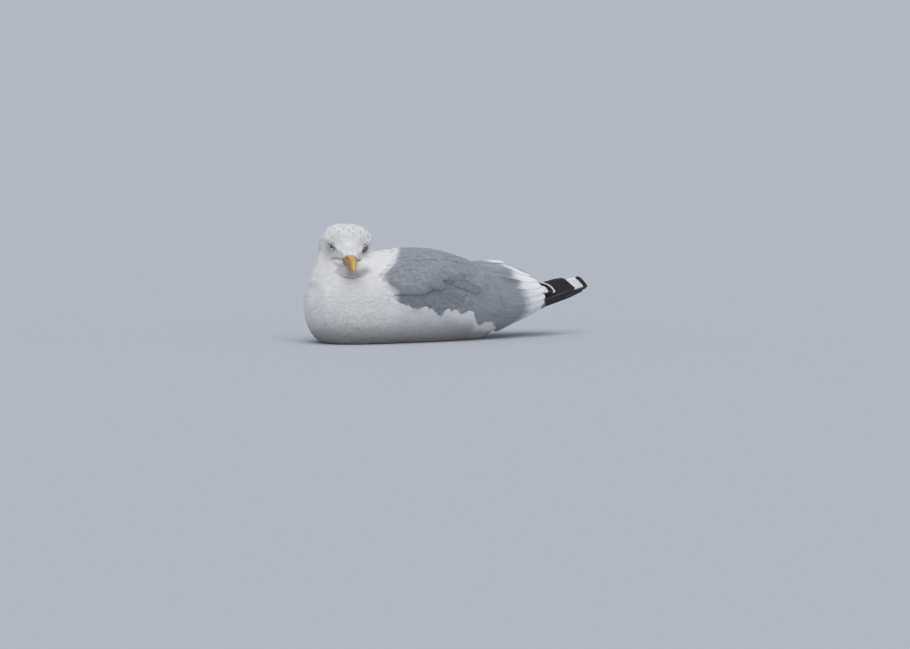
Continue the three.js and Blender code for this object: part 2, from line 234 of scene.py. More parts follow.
guide = copy_of([*FLESH, *WINGS, *BILL, "eye_left", "eye_right", *FEET], "guide", swell=SWELL)
remeshed(guide, VOXEL, 6)
guide_points, guide_normals, guide_faces = arrays_of(guide)
print("guide points:", len(guide_points))
print("all faces have four sides:", len(guide_faces) == len(guide.data.polygons))


# %% [markdown]
# Sizes change smoothly over the bird, and so do its markings: each is a function of the place. A smooth
# step and the distance from a drawn line are all that they need.

# %% Steps and lines
def ramp(value, low, high):
    """0 below `low`, 1 above `high`, and smooth between."""
    t = np.clip((value - low) / (high - low), 0, 1)
    return t * t * (3 - 2 * t)


def near_line(points, line, width):
    """1 on a line of straight pieces and falling to 0 away from it, over about `width`."""
    away = np.full(len(points), np.inf)
    line = np.array(line, float)
    for start, end in zip(line[:-1], line[1:]):
        step = end - start
        share = np.clip((points - start) @ step / (step @ step), 0, 1)
        away = np.minimum(away, np.linalg.norm(points - start - share[:, None] * step, axis=1))
    return np.exp(-((away / width) ** 2))


# %% [markdown]
# The face is modelled next, in the head's own frame. A ridge of brow runs down and forward over each eye,
# which is what makes a gull look stern. The corner of the mouth is a fine crease, with a soft pad of cheek
# below it, and the chin meets the breast in a deep hollow. Each is a line or a spot, and a height that is
# added along the normals.

# %% Model the face
BROW = [(2, 29.8, 12.5), (9, 28.6, 10.0), (16, 25.0, 7.2), (23, 19.4, 3.4), (28, 15.0, -0.5)]
GAPE = [(40, 9.5, -14.0), (34.6, 11.5, -13.0), (26, 16.4, -12.6), (20.3, 19.9, -13.6), (15.8, 23, -15.6)]
CULMEN = [(34, 0, 5.5), (38, 0, 0.0), (42, 0, -2.5), (45, 0, -4.0)]
HOLLOW = [(38, -14, -26.5), (47, -5, -31.0), (50, 4, -32.0), (48, 13, -31.0), (43, 22, -27.0)]
BREAST_LIP = [(46, -22, -37.5), (53, -8, -38.5), (56, 4, -39.5), (54, 16, -38.0), (47, 30, -35.0)]


def face_heights(points):
    """Millimetres to add along the normals, for places in the scene."""
    h = in_head(points)
    mirrored = h * [1, -1, 1]
    height = np.zeros(len(h))
    for own in (h, mirrored):
        height += 2.3 * near_line(own, BROW, 3.0)
        height -= 1.3 * np.exp(-(((own - [20.0, 22.5, -1.0]) ** 2).sum(1)) / 4.2**2)
        height -= 2.0 * near_line(own, GAPE, 1.5)
        height += 4.2 * np.exp(-((((own - [29.0, 16.0, -19.5]) / [8.5, 7.0, 5.0]) ** 2).sum(1)))
        height += 0.8 * near_line(own, [(34, 9, -5), (27, 14, -6), (22, 19, -8)], 2.6)
        height += 1.8 * near_line(own, [(36, 9.5, -3), (41, 8.8, -6.5)], 3.2)
    height += 2.6 * near_line(h, CULMEN, 4.6)
    height -= 5.0 * near_line(h, HOLLOW, 5.0)
    height += 1.6 * near_line(h, BREAST_LIP, 4.5)
    return height


def face_modelled(piece):
    """Adds the heights of the face to a piece."""
    points, normals, _ = arrays_of(piece)
    return with_points(piece, points + normals * (face_heights(points) * MM)[:, None])


face_modelled(guide)
print("highest and lowest, mm:", [round(float(f(face_heights(guide_points))), 2) for f in (np.max, np.min)])


# %% [markdown]
# On the body it helps to think of a barrel: how far back, and how far round, with 0 degrees straight out to
# the side and 90 on top. Two lines in those terms part the white of the neck and flanks from the grey of
# the wing. The flank's line runs up and down in five soft lobes, where tufts puff up over the folded wing.

# %% Where white meets grey
AXIS_Z = 58.0  # height of the barrel's middle line
BARREL_RADIUS = 76.0
RUMP = 122.0  # from here back the body under the wings is white
WHITE_FRONT = (
    [-6, -0.4, 8, 13.6, 18.4, 23.4, 29.9, 33.6, 41, 48.6, 59.5, 75, 90],
    [-57.5, -55.2, -50.9, -54.5, -60.9, -65.5, -67.7, -66.5, -53.3, -41.8, -32.6, -19, -9],
)
FLANK_TOP = (
    [-57.5, -52.4, -45.2, -36.6, -29, -26, -16.8, -8.8, 2.2, 7.4, 12.6, 19.2, 28.6, 38.5,
     47.1, 52.8, 58.3, 63.7, 72.7, 78.8, 82.3, 87.7, 97.2, 108.5, 119.8, 125, 128, 132],
    [-4.5, -0.5, 0, -0.2, -2.9, -6.8, -6.7, -4.3, -4, -7.7, -12.4, -13.6, -8.8, -6.5,
     -7.5, -12.3, -13.7, -11.9, -11, -14.1, -21.1, -29.5, -26.4, -26.4, -30.5, -41, -47, -90],
)
WING_EDGE = (
    [-80, -70, -55, -20, 20, 60, 100, 137, 165, 216],
    [33, 12, -3, -8, -17, -30, -44, -50, -38, -33],
)


def round_barrel(points):
    """Millimetres back and degrees round, the same on both sides."""
    x, y, z = (points / MM).T
    return x, np.degrees(np.arctan2(z - AXIS_Z, np.abs(y)))


def white_front(angle, y):
    """How far back the white of the neck goes. Past the middle of the back it runs on in a straight line."""
    front = np.interp(angle, *WHITE_FRONT)
    far = np.maximum(front, 0.6 * y - 8)
    return front + ramp(angle, 35, 55) * ramp(y, -4, 4) * (far - front)


def white_coat(points):
    """Where the white of the neck and flanks lies over the wing."""
    x, angle = round_barrel(points)
    return (x < white_front(angle, points[:, 1] / MM)) | (angle < np.interp(x, *FLANK_TOP))


def is_white(points):
    """Where the body is white: in front, below, and on the rump."""
    return white_coat(points) | (points[:, 0] > RUMP * MM)


# %% [markdown]
# The solid of the folded wing ends in a step along the flank. The tufts fill that step, so there the guide
# is eased: each point moves to the mean of its neighbours, many times over, but only between the lobes and
# the belly.

# %% Ease the flank
SIDES = [(0, 1), (1, 2), (2, 3), (3, 0)]
DIAGONALS = [(0, 2), (1, 3)]


def pairs_of(faces, kinds):
    """Every pair of corners of these kinds, once each."""
    pairs = np.concatenate([faces[:, [a, b]] for a, b in kinds])
    return np.unique(np.sort(pairs, axis=1), axis=0)


def both_ways(pairs):
    return np.concatenate([pairs, pairs[:, ::-1]])


def gathered(links, values, count):
    """For each of `count` points, the sum of the rows of `values` that its links have."""
    return np.stack([np.bincount(links[:, 0], values[:, k], count) for k in range(3)], axis=1)


def mean_of_neighbours(values, links):
    count = np.bincount(links[:, 0], minlength=len(values))[:, None]
    return gathered(links, values[links[:, 1]], len(values)) / count


guide_points, guide_normals, guide_faces = arrays_of(guide)
guide_links = both_ways(pairs_of(guide_faces, SIDES))
x, angle = round_barrel(guide_points)
edge = np.interp(x, *WING_EDGE)
free = ramp(x, -78, -64) * (1 - ramp(x, 112, 130)) * ramp(angle, edge - 42, edge - 22)
free *= (1 - ramp(angle - np.interp(x, *FLANK_TOP), -7, 1)) * ramp(guide_points[:, 2] / MM, 5, 20)
for _ in range(90):
    guide_points += 0.6 * free[:, None] * (mean_of_neighbours(guide_points, guide_links) - guide_points)
guide_points, guide_normals, guide_faces = arrays_of(with_points(guide, guide_points))
guide_tree = tree_of(guide)
print("eased points:", int((free > 0.1).sum()))


# %% [markdown]
# Feathers lie away from the bill, over the head and down the throat, and back along the body to the tail.
# The length of the shortest way over the guide from the bill's tip rises in just that direction, so its
# slope gives the lie of the coat at every point. Averaging with the neighbours takes out the small kinks.

# %% The lie of the coat
def lie_of_coat(points, normals, faces):
    """The lie of the coat at every point, and the length of the way there from the bill's tip."""
    pairs = pairs_of(faces, SIDES + DIAGONALS)
    lengths = np.linalg.norm(points[pairs[:, 0]] - points[pairs[:, 1]], axis=1)
    near = [[] for _ in points]
    for (a, b), length in zip(pairs.tolist(), lengths.tolist()):
        near[a].append((b, length))
        near[b].append((a, length))
    start = int(np.argmin(np.linalg.norm(points - np.array(in_world(BILL_TIP)), axis=1)))
    way = [1e9] * len(points)
    way[start] = 0.0
    queue = [(0.0, start)]
    while queue:
        so_far, here = heapq.heappop(queue)
        if so_far > way[here]:
            continue
        for there, length in near[here]:
            if so_far + length < way[there]:
                way[there] = so_far + length
                heapq.heappush(queue, (way[there], there))
    way = np.array(way)
    both = both_ways(pairs)
    step = points[both[:, 1]] - points[both[:, 0]]
    rise = (way[both[:, 1]] - way[both[:, 0]]) / np.maximum((step**2).sum(1), 1e-12)
    lie = gathered(both, rise[:, None] * step, len(points))
    for _ in range(14):
        lie -= normals * (lie * normals).sum(1, keepdims=True)
        lie /= np.linalg.norm(lie, axis=1, keepdims=True) + 1e-9
        lie = lie + gathered(both, lie[both[:, 1]], len(points))
    lie -= normals * (lie * normals).sum(1, keepdims=True)
    return lie / (np.linalg.norm(lie, axis=1, keepdims=True) + 1e-9), way


guide_lie, guide_way = lie_of_coat(guide_points, guide_normals, guide_faces)
print("longest way from the bill's tip, m:", round(float(guide_way.max()), 3))


# %% [markdown]
# In the flank's lobes the feathers turn up and fan out towards the lobe's edge. The way to the nearest
# point of that edge is blended into the lie, and more of it the nearer the edge is.

# %% Fan the flank's feathers
def fanned(points, lie):
    """The lie of the coat, turned towards the nearest edge in the flank's lobes."""
    x, angle = round_barrel(points)
    line = np.stack([FLANK_TOP[0][:-1], np.radians(FLANK_TOP[1][:-1]) * BARREL_RADIUS], axis=1)
    steps = np.arange(0, len(line) - 1, 0.1)
    dense = np.stack([np.interp(steps, np.arange(len(line)), line[:, k]) for k in range(2)], axis=1)
    here = np.stack([x, np.radians(angle) * BARREL_RADIUS], axis=1)
    near = np.nonzero((x > -60) & (x < 134) & (angle < 6) & (angle > -70))[0]
    away = dense[None] - here[near][:, None]
    gaps = np.linalg.norm(away, axis=2)
    best = gaps.argmin(1)
    gap = gaps[np.arange(len(near)), best]
    out = away[np.arange(len(near)), best] / (gap[:, None] + 1e-9)
    out[angle[near] > np.interp(x[near], *FLANK_TOP)] *= -1
    side = np.sign(points[near, 1])
    turn = np.radians(angle[near])
    up = np.stack([0 * turn, -side * np.sin(turn), np.cos(turn)], axis=1)
    share = 1.1 * np.clip(1 - gap / 24, 0, 1)[:, None]
    lie[near] += share * (out[:, :1] * [1, 0, 0] + out[:, 1:] * up)
    for _ in range(4):
        lie = 0.5 * lie + 0.5 * mean_of_neighbours(lie, guide_links)
    return lie / (np.linalg.norm(lie, axis=1, keepdims=True) + 1e-9)


guide_lie = fanned(guide_points, guide_lie)


# %% [markdown]
# Feathers are tiny round the bill and large and soft on the breast and belly. One number runs from 0 at the
# bill to 1 on the body, and each size is read off between its two ends.

# %% Sizes by place
def body_share(points):
    """0 round the bill, 1 on the body."""
    away = np.linalg.norm(in_head(points) - np.array(BILL_BASE), axis=1)
    return np.clip((away - 12) / 95, 0, 1) ** 1.15


def coat_depth(points):
    """How far the skin lies under the feather tips, in millimetres."""
    return 1.1 + 1.9 * body_share(points)


def mantle_at(points):
    """1 where the back is grey, 0 where it is white."""
    return (~is_white(points) & (points[:, 2] > 88 * MM)).astype(float)


# %% [markdown]
# The skin is what the coat grows from. One closed form replaces the head, neck and trunk, so no cut shows
# between them. Pushing every point in along its normal by the depth of the coat leaves room for the
# feathers. A map of its own shape comes with it, on which every feather later finds its place.

# %% The skin
def tucked(piece, depth_of):
    """Moves what would show of a piece to some millimetres under the guide."""
    points, _, _ = arrays_of(piece)
    depths = depth_of(points) * MM
    for i, (point, depth) in enumerate(zip(points.tolist(), depths.tolist())):
        spot, _, face, _ = guide_tree.find_nearest(point)
        out = Vector(guide_normals[guide_faces[face]].mean(0)).normalized()
        if (Vector(point) - spot).dot(out) > -depth:
            points[i] = spot - out * depth
    return with_points(piece, points)


skin = face_modelled(remeshed(copy_of(FLESH, "skin", swell=SWELL), VOXEL, 4))
tucked(skin, coat_depth)
modify(skin, "SMOOTH", factor=0.5, iterations=2)
tucked(skin, lambda points: coat_depth(points) * 0.9)


def unwrapped(piece):
    """Gives a piece a map of its own shape, with the name that the export looks for."""
    only(piece)
    while piece.data.uv_layers:
        piece.data.uv_layers.remove(piece.data.uv_layers[0])
    piece.data.uv_layers.new(name="OFBake")
    bpy.ops.object.mode_set(mode="EDIT")
    bpy.ops.mesh.select_all(action="SELECT")
    bpy.ops.uv.smart_project(angle_limit=math.radians(66), island_margin=0.004)
    bpy.ops.object.mode_set(mode="OBJECT")
    return piece


def map_reader(piece):
    """A function from a place to the nearest spot on a piece's map."""
    tree, mesh = tree_of(piece), piece.data
    layer = mesh.uv_layers["OFBake"].data

    def read(point):
        spot, _, face, _ = tree.find_nearest(point)
        polygon = mesh.polygons[face]
        shares = poly_3d_calc([mesh.vertices[v].co for v in polygon.vertices], spot)
        spots = [layer[loop].uv for loop in polygon.loop_indices]
        return tuple(sum(s * uv[k] for s, uv in zip(shares, spots)) for k in range(2))

    return read


unwrapped(skin)
skin_map = map_reader(skin)
print("skin faces:", len(skin.data.polygons))


# %% [markdown]
# A contour feather is a shaft with barbs that sweep forward on both sides. Modelled barb by barb it has a
# soft, frayed edge, which is what makes plumage look like plumage and not like scales. One layout is worked
# out flat, as places along and across the vane, and then used for every feather of its kind.

# %% The layout of a vane
BLUNT = 2.4  # how round a vane's tip is
SPREAD = 0.42  # how much of its room a barb fills, to either side


def vane_layout(barbs, sweep=0.4, widest=0.5):
    """Places along (0 root, 1 tip) and across (-1, 1) of each corner, and the barbs between them."""

    def edge(t):
        if t < widest:
            return math.sqrt(max(0.0, 1 - (1 - t / widest) ** 2)) * 0.55 + 0.45 * t / widest
        return max(0.0, 1 - ((t - widest) / (1 - widest)) ** BLUNT) ** 0.5

    corners = [(i / barbs, 0.0) for i in range(barbs + 1)]
    quads = []
    for side in (1, -1):
        for i in range(barbs):
            middle = (i + 0.5) / barbs
            end = middle + sweep * (1 - middle)
            half = SPREAD * (1 - sweep) / barbs
            first = len(corners)
            corners.append((end - half, side * edge(end - half)))
            corners.append((end + half, side * edge(min(end + half, 0.998))))
            quads.append((i, i + 1, first + 1, first) if side > 0 else (i, first, first + 1, i + 1))
    along, across = np.array(corners).T
    return along, across, np.array(quads)


SMALL_VANE = vane_layout(6)
BODY_VANE = vane_layout(11)
WING_VANE = vane_layout(18, sweep=0.3, widest=0.6)


def blade_layout(rows, end, columns=4):
    """A stiff feather as a plain grid. It narrows to the tip from a share `end` of its length on."""

    def edge(t):
        root = 0.55 + 0.45 * min(1.0, t / 0.3)
        if t <= end:
            return root
        u = (t - end) / (1 - end)
        return math.sqrt(max(1 - u * u, 0.0004))

    along, across = [], []
    for i in range(rows + 1):
        t = 1 - (1 - i / rows) ** 1.25
        for k in range(-columns, columns + 1):
            along.append(t)
            across.append(k / columns * edge(t))
    wide = 2 * columns + 1
    quads = [
        (r * wide + k, (r + 1) * wide + k, (r + 1) * wide + k + 1, r * wide + k + 1)
        for r in range(rows) for k in range(2 * columns)
    ]
    return np.array(along), np.array(across), np.array(quads)


TERTIAL = blade_layout(30, 0.78)
COVERT = blade_layout(12, 0.6, columns=3)
PRIMARY = blade_layout(56, 1, columns=7)
layouts = (SMALL_VANE, BODY_VANE, WING_VANE, TERTIAL, PRIMARY)
print("corners a feather:", [len(along) for along, _, _ in layouts])


# %% [markdown]
# Thousands of vanes go into one mesh. They are joined straight from arrays: all corners in one list, all
# barbs in another, and the numbers that the paint needs (how far from the tip, how far across, and a tone
# of its own for each feather) as attributes.

# %% Meshes from arrays
def mesh_piece(name, corners, quads, maps, numbers):
    """A smooth mesh: corner places, four-sided faces, and each corner's map spot and named numbers."""
    mesh = bpy.data.meshes.new(name)
    mesh.vertices.add(len(corners))
    mesh.vertices.foreach_set("co", np.ascontiguousarray(corners, dtype=np.float32).ravel())
    mesh.loops.add(quads.size)
    mesh.loops.foreach_set("vertex_index", quads.astype(np.int32).ravel())
    mesh.polygons.add(len(quads))
    mesh.polygons.foreach_set("loop_start", np.arange(0, quads.size, 4, dtype=np.int32))
    mesh.polygons.foreach_set("use_smooth", np.ones(len(quads), dtype=bool))
    mesh.update(calc_edges=True)
    layer = mesh.uv_layers.new(name="OFBake")
    layer.data.foreach_set("uv", maps[quads.ravel()].astype(np.float32).ravel())
    for key, values in numbers.items():
        attribute = mesh.attributes.new(key, "FLOAT", "POINT")
        attribute.data.foreach_set("value", values.astype(np.float32).ravel())
    piece = bpy.data.objects.new(name, mesh)
    bpy.context.collection.objects.link(piece)
    return piece


def repeated(layout, count):
    """The faces of `count` vanes of one layout, joined."""
    along, _, quads = layout
    return (quads[None] + np.arange(count)[:, None, None] * len(along)).reshape(-1, 4)


PATCH = 0.003


def patches(spots, layout):
    """Map spots: each vane is a small patch round the place of its root."""
    along, across, _ = layout
    local = np.stack([across * 0.5, along - 0.5], axis=1) * PATCH
    return (np.asarray(spots)[:, None, :] + local[None]).reshape(-1, 2)


# %% [markdown]
# Where does each feather grow? Points are thrown at random on the guide, and one is kept only if no earlier
# one is nearer than the spacing at that place. That gives an even but natural spread. Places on the wings,
# bill, eyes and feet are left free.

# %% Roots for the body's coat
others = {}
for name, nodes in [("wings", WINGS), ("bill", BILL), ("feet", FEET)]:
    copy = copy_of(nodes, f"{name}_guide")
    others[name] = tree_of(copy)
    bpy.data.objects.remove(copy)


def clear_of(tree, point, distance):
    """Whether nothing of a tree is within some millimetres of a point."""
    return tree.find_nearest(point, distance * MM)[0] is None


def feather_sizes(places):
    """Length, half width and depth at the root, in millimetres. The flank's tufts are smaller."""
    share = body_share(places)
    x, angle = round_barrel(places)
    tuft = ramp(x, -60, -40) * ramp(angle, -60, -30) * (angle < 2)
    length = (4.8 + 19 * share) * (1 - 0.2 * tuft)
    half_width = (1.6 + 6.0 * share) * (1 - 0.15 * tuft)
    return length, half_width, 0.45 + 0.65 * share


def scatter(seed, tries, spacing_of, wanted):
    """Even random roots on the guide: places, normals and the lie of the coat there."""
    draw = np.random.default_rng(seed)
    triangles = np.concatenate([guide_faces[:, :3], guide_faces[:, [0, 2, 3]]])
    a, b, c = (guide_points[triangles[:, k]] for k in range(3))
    areas = np.linalg.norm(np.cross(b - a, c - a), axis=1) / 2
    small = 0.15 + 0.85 * body_share((a + b + c) / 3)
    odds = areas / small**2
    chosen = draw.choice(len(triangles), tries, p=odds / odds.sum())
    u, v = draw.random((2, tries))
    fold = u + v > 1
    u[fold], v[fold] = 1 - u[fold], 1 - v[fold]
    shares = np.stack([1 - u - v, u, v], axis=1)[:, :, None]
    corners = triangles[chosen]
    places = (guide_points[corners] * shares).sum(1)
    normals = (guide_normals[corners] * shares).sum(1)
    lies = (guide_lie[corners] * shares).sum(1)
    normals /= np.linalg.norm(normals, axis=1, keepdims=True)
    lies /= np.linalg.norm(lies, axis=1, keepdims=True) + 1e-9
    keep = wanted(places, normals, lies)
    places, normals, lies = places[keep], normals[keep], lies[keep]
    spacing = spacing_of(places) * MM
    cell, taken, kept = 8 * MM, {}, []
    for i, (place, room) in enumerate(zip(places.tolist(), spacing.tolist())):
        key = tuple(int(k // cell) for k in place)
        crowd = [q for dx in (-1, 0, 1) for dy in (-1, 0, 1) for dz in (-1, 0, 1)
                 for q in taken.get((key[0] + dx, key[1] + dy, key[2] + dz), ())]
        if all(math.dist(place, q) > room for q in crowd):
            taken.setdefault(key, []).append(place)
            kept.append(i)
    return places[kept], normals[kept], lies[kept]


def body_wanted(places, normals, lies):
    """Roots on the head, neck and trunk, and those on the wing whose tips end in the white."""
    length, half, _ = (size[:, None] * MM for size in feather_sizes(places))
    aside = np.cross(normals, lies)
    white = white_coat(places + lies * length * 0.58)
    for share in (-0.6, 0.6):
        white &= white_coat(places + lies * length * 0.35 + aside * half * share)
    x, angle = round_barrel(places)
    grey_wing = (angle > np.interp(x, *WING_EDGE) - 5) & (angle < 60)
    tuft_end, wing_room, behind = 132 * MM, 2.2, 60 * MM
    keep = []
    for place, normal, is_tip_white, on_wing in zip(places, normals, white, grey_wing):
        point, out = Vector(place), Vector(normal)
        good = clear_of(others["bill"], point, 1.0)
        good = good and (out.z > -0.35 or clear_of(others["feet"], point, 0.9))
        good = good and (clear_of(others["wings"], point, wing_room) or (is_tip_white and point.x < tuft_end))
        if good and point.x > behind and not is_tip_white:
            good = not on_wing and guide_tree.ray_cast(point + out * 2 * MM, out, 30 * MM)[0] is None
        keep.append(good)
    return np.array(keep)


def spacing_at(places):
    """Millimetres between roots: close on the face and along the flank's lobes, wide on the body."""
    x, angle = round_barrel(places)
    tuft = ramp(x, -70, -50) * (1 - ramp(x, 125, 135)) * ramp(angle, -60, -40) * (angle < 3)
    return (1.7 + 4.3 * body_share(places)) * (1 - 0.35 * tuft)


roots = scatter(3, 130000, spacing_at, body_wanted)
print("roots on the body:", len(roots[0]))

# %% [markdown]
# Laying a vane: it starts flat on the guide at its root, turned along the lie of the coat. Every corner is
# then brought to the nearest point of the guide and sunk below it, deep at the root and not at all at the
# tip. The tip of one feather therefore lies over the root of the next, as on the bird. Small random turns
# and lifts keep it soft.

# %% Lay the body's coat
def shade_at(points):
    """Painted shade on the coat: in the hollow under the bill, under the brow over each eye, beside the left
    eye and low on the head's right side. In the mouth's corner it is partly the dark skin there and partly
    painted shade.
    """
    h = in_head(points)
    shade = 0.5 * near_line(h, HOLLOW, 6.5)
    for own in (h, h * [1, -1, 1]):
        strength = (0.85 + 0.1 * ramp(own[:, 0], 30, 40)) * (1 if own is h else 0.7)
        shade = np.maximum(shade, strength * near_line(own, GAPE, 1.5))
        shade = np.maximum(shade, 0.6 * near_line(own, [(25, 17, 0.5), (20, 21.5, 4.5), (13, 25.5, 8)], 1.5))
    shade = np.maximum(shade, 0.6 * near_line(h, [(20, 21.5, 4), (21, 20.5, -3)], 4.0))
    near = 1 - ramp(np.linalg.norm(h, axis=1), 45, 80)
    return np.maximum(shade, 0.15 * ramp(-h[:, 1], 12, 28) * (1 - ramp(h[:, 2], 0, 20)) * near)


def lobe_highlight_at(points):
    """Where the flank's lobes get a painted highlight: 1 along the lobes, and 0 on the belly below them."""
    x, angle = round_barrel(points)
    below = np.interp(x, *FLANK_TOP) - angle
    return (1 - ramp(below, 2, 20)) * ramp(below, -12, -6) * ramp(x, -70, -50) * (1 - ramp(x, 112, 122))


COAT_CROWN = 0.03  # how much lower a vane's sides lie than its middle, for each unit of half width
COAT_FRAY = 0.05  # millimetres that the ends of barbs stray up or down


def lay_vanes(name, roots, layout, sizes, flecks, seed):
    """One piece of coat. `sizes` are a length, half width and depth for each root, in millimetres."""
    places, normals, lies = roots
    along, across, _ = layout
    draw = np.random.default_rng(seed)
    count = len(places)
    length, half, depth = (size * MM for size in sizes)
    turn = draw.normal(0, 0.12, count)
    aside = np.cross(normals, lies)
    lies = lies * np.cos(turn)[:, None] + aside * np.sin(turn)[:, None]
    aside = np.cross(normals, lies)
    length = length * draw.uniform(0.86, 1.14, count)
    flat = (
        places[:, None]
        + lies[:, None] * ((along - 0.45)[None] * length[:, None])[..., None]
        + aside[:, None] * (across[None] * half[:, None])[..., None]
    ).reshape(-1, 3)
    found = [guide_tree.find_nearest(p) for p in flat.tolist()]
    spots = np.array([f[0] for f in found])
    around = guide_faces[[f[2] for f in found]]
    share = 1 / (((guide_points[around] - spots[:, None]) ** 2).sum(2) + 1e-8)
    out = (guide_normals[around] * share[:, :, None]).sum(1)
    out /= np.linalg.norm(out, axis=1, keepdims=True)
    own = draw.normal(0, 0.05, (count, 1)) * depth[:, None]
    loose = draw.normal(0, COAT_FRAY * MM, (count, len(along))) * (np.abs(across) > 0.02)[None]
    sink = depth[:, None] * (1 - along)[None] ** 1.1
    sink = sink + COAT_CROWN * half[:, None] * across[None] ** 2 + own + loose
    corners = spots - out * (sink.reshape(-1, 1) + 0.05 * MM)
    corners[:, 2] = np.maximum(corners[:, 2], 0.15 * MM)
    told = {
        "to_tip": (1 - along)[None] * length[:, None] / MM,
        "across": np.repeat(across[None], count, 0),
        "tone": np.repeat(draw.random(count)[:, None], len(along), 1),
        "shade": shade_at(corners),
        "lobe_highlight": lobe_highlight_at(corners),
        "fleck": np.repeat(flecks[:, None], len(along), 1),
    }
    map_spots = [skin_map(Vector(p)) for p in places]
    return mesh_piece(name, corners, repeated(layout, count), patches(map_spots, layout), told)


# %% [markdown]
# On the head two things need care. No feather may cover an eye, so a root is dropped when its vane would
# cross the opening of the lids. And in winter the head has fine grey streaks, strongest round the eyes, so
# each feather there gets a number that says how dark its middle is.

# %% The coat of the head, breast and belly
def over_an_eye(places, lies, length):
    """Whether a vane would cross the opening of the lids."""
    crossing = np.zeros(len(places), bool)
    for side in ("left", "right"):
        middle = np.array(EYE_CENTRES[side] + EYE_AXES[side] * 6.8)
        up = np.array(LID_UP[side])
        for share in (-0.35, 0, 0.3, 0.5):
            away = in_head(places + lies * (share * length * MM)[:, None]) - middle
            crossing |= (np.linalg.norm(away, axis=1) < 5.3) & (away @ up < LID_HEIGHT[side] + 1.5)
    return crossing


def flecks_at(places, seed):
    """How dark the middle of each feather is: streaks on the crown and nape, specks round the eyes."""
    h = in_head(places)
    own = np.stack([h[:, 0], np.abs(h[:, 1]), h[:, 2]], axis=1)
    draw = np.random.default_rng(seed)
    fleck = 0.38 * ramp(h[:, 2], 2, 18) * draw.random(len(h)) ** 2
    fleck += 0.3 * ramp(-h[:, 0], 5, 25) * ramp(h[:, 2], -22, 0) * draw.random(len(h)) ** 2
    eye = np.array(EYE_CENTRES["left"] + EYE_AXES["left"] * 6.5)
    away = np.linalg.norm(own - eye, axis=1)
    front = (own[:, 0] > eye[0] + 1) & (own[:, 2] < eye[2] + 5)
    fleck += (1 - ramp(away, 5.8, 9.5)) * np.where(front, 0.75, 0.3)
    fleck += 0.35 * (1 - ramp(away, 9, 15)) * draw.random(len(h))
    return np.clip(fleck, 0, 1)


def picked(parts, chosen):
    """The chosen rows of each array."""
    return [part[chosen] for part in parts]


sizes = feather_sizes(roots[0])
free = ~over_an_eye(roots[0], roots[2], sizes[0])
roots, sizes = picked(roots, free), picked(sizes, free)
on_head = body_share(roots[0]) < 0.42
flecks = flecks_at(roots[0], 11) * (body_share(roots[0]) < 0.75)
grey = ~is_white(roots[0] + roots[2] * (sizes[0] * 0.3 * MM)[:, None]) & ~on_head
coats = {}
for name, chosen, layout in [
    ("coat_head", on_head, SMALL_VANE),
    ("coat_body", ~on_head & ~grey, BODY_VANE),
    ("coat_mantle", grey, BODY_VANE),
]:
    seed = 20 + len(coats)
    coats[name] = lay_vanes(name, picked(roots, chosen), layout, picked(sizes, chosen), flecks[chosen], seed)
    print(name, int(chosen.sum()), "feathers")

# %% [markdown]
# The folded wing is nearly a half barrel too, so its feathers are laid out in the barrel's own terms. A
# table of the wing's reach from the long middle line, taken by casting rays at the CAD wing, turns them
# into a place. The table is smoothed, so no facet shows through.

# %% The wing as a barrel
STEP = 2.0
BACK = np.arange(-100.0, 240.0, STEP)
ROUND = np.arange(-70.0, 100.0, STEP)
wing_tree = tree_of(frame["nodes"]["wing_left"])


def reach(tree, x, angle):
    """How far from the middle line a node's outside is, in millimetres, or 0 where it isn't."""
    out = Vector((0, -math.cos(math.radians(angle)), math.sin(math.radians(angle))))
    middle = Vector((x, 0, AXIS_Z)) * MM
    hit = tree.ray_cast(middle + out * 0.2, -out, 0.2)[0]
    return (hit - middle).length / MM if hit else 0.0


def smoothed(table, rounds):
    """Each entry moves towards the mean of the four round it."""
    for _ in range(rounds):
        padded = np.pad(table, 1, mode="edge")
        table = (padded[:-2, 1:-1] + padded[2:, 1:-1] + padded[1:-1, :-2] + padded[1:-1, 2:] + 2 * table) / 6
    return table


def filled(table):
    """Copies the nearest known reach into the gaps: round the barrel first, then along it."""
    known = [i for i in range(len(BACK)) if (table[i] > 0).any()]
    for i in range(len(BACK)):
        nearest = min(known, key=lambda k: abs(k - i))
        row = table[nearest]
        seen = np.nonzero(row > 0)[0]
        table[i] = np.interp(np.arange(len(ROUND)), seen, row[seen])
    return table


wing_reach = np.array([[reach(wing_tree, x, a) for a in ROUND] for x in BACK])
wing_reach = smoothed(filled(wing_reach), 3)
print("wing's reach, mm:", round(float(wing_reach.min()), 1), "to", round(float(wing_reach.max()), 1))


OUTWARDS = {"left": -1, "right": 1}  # along Y


def on_barrel(table, x, angle, rise, side):
    """Places in metres from millimetres back, degrees round and millimetres outwards."""
    i = np.clip((x - BACK[0]) / STEP, 0, len(BACK) - 1.001)
    j = np.clip((angle - ROUND[0]) / STEP, 0, len(ROUND) - 1.001)
    i0, j0 = i.astype(int), j.astype(int)
    di, dj = i - i0, j - j0
    r = (
        table[i0, j0] * (1 - di) * (1 - dj) + table[i0 + 1, j0] * di * (1 - dj)
        + table[i0, j0 + 1] * (1 - di) * dj + table[i0 + 1, j0 + 1] * di * dj
    ) + rise
    a = np.radians(angle)
    return np.stack([x, side * r * np.cos(a), AXIS_Z + r * np.sin(a)], axis=-1) * MM
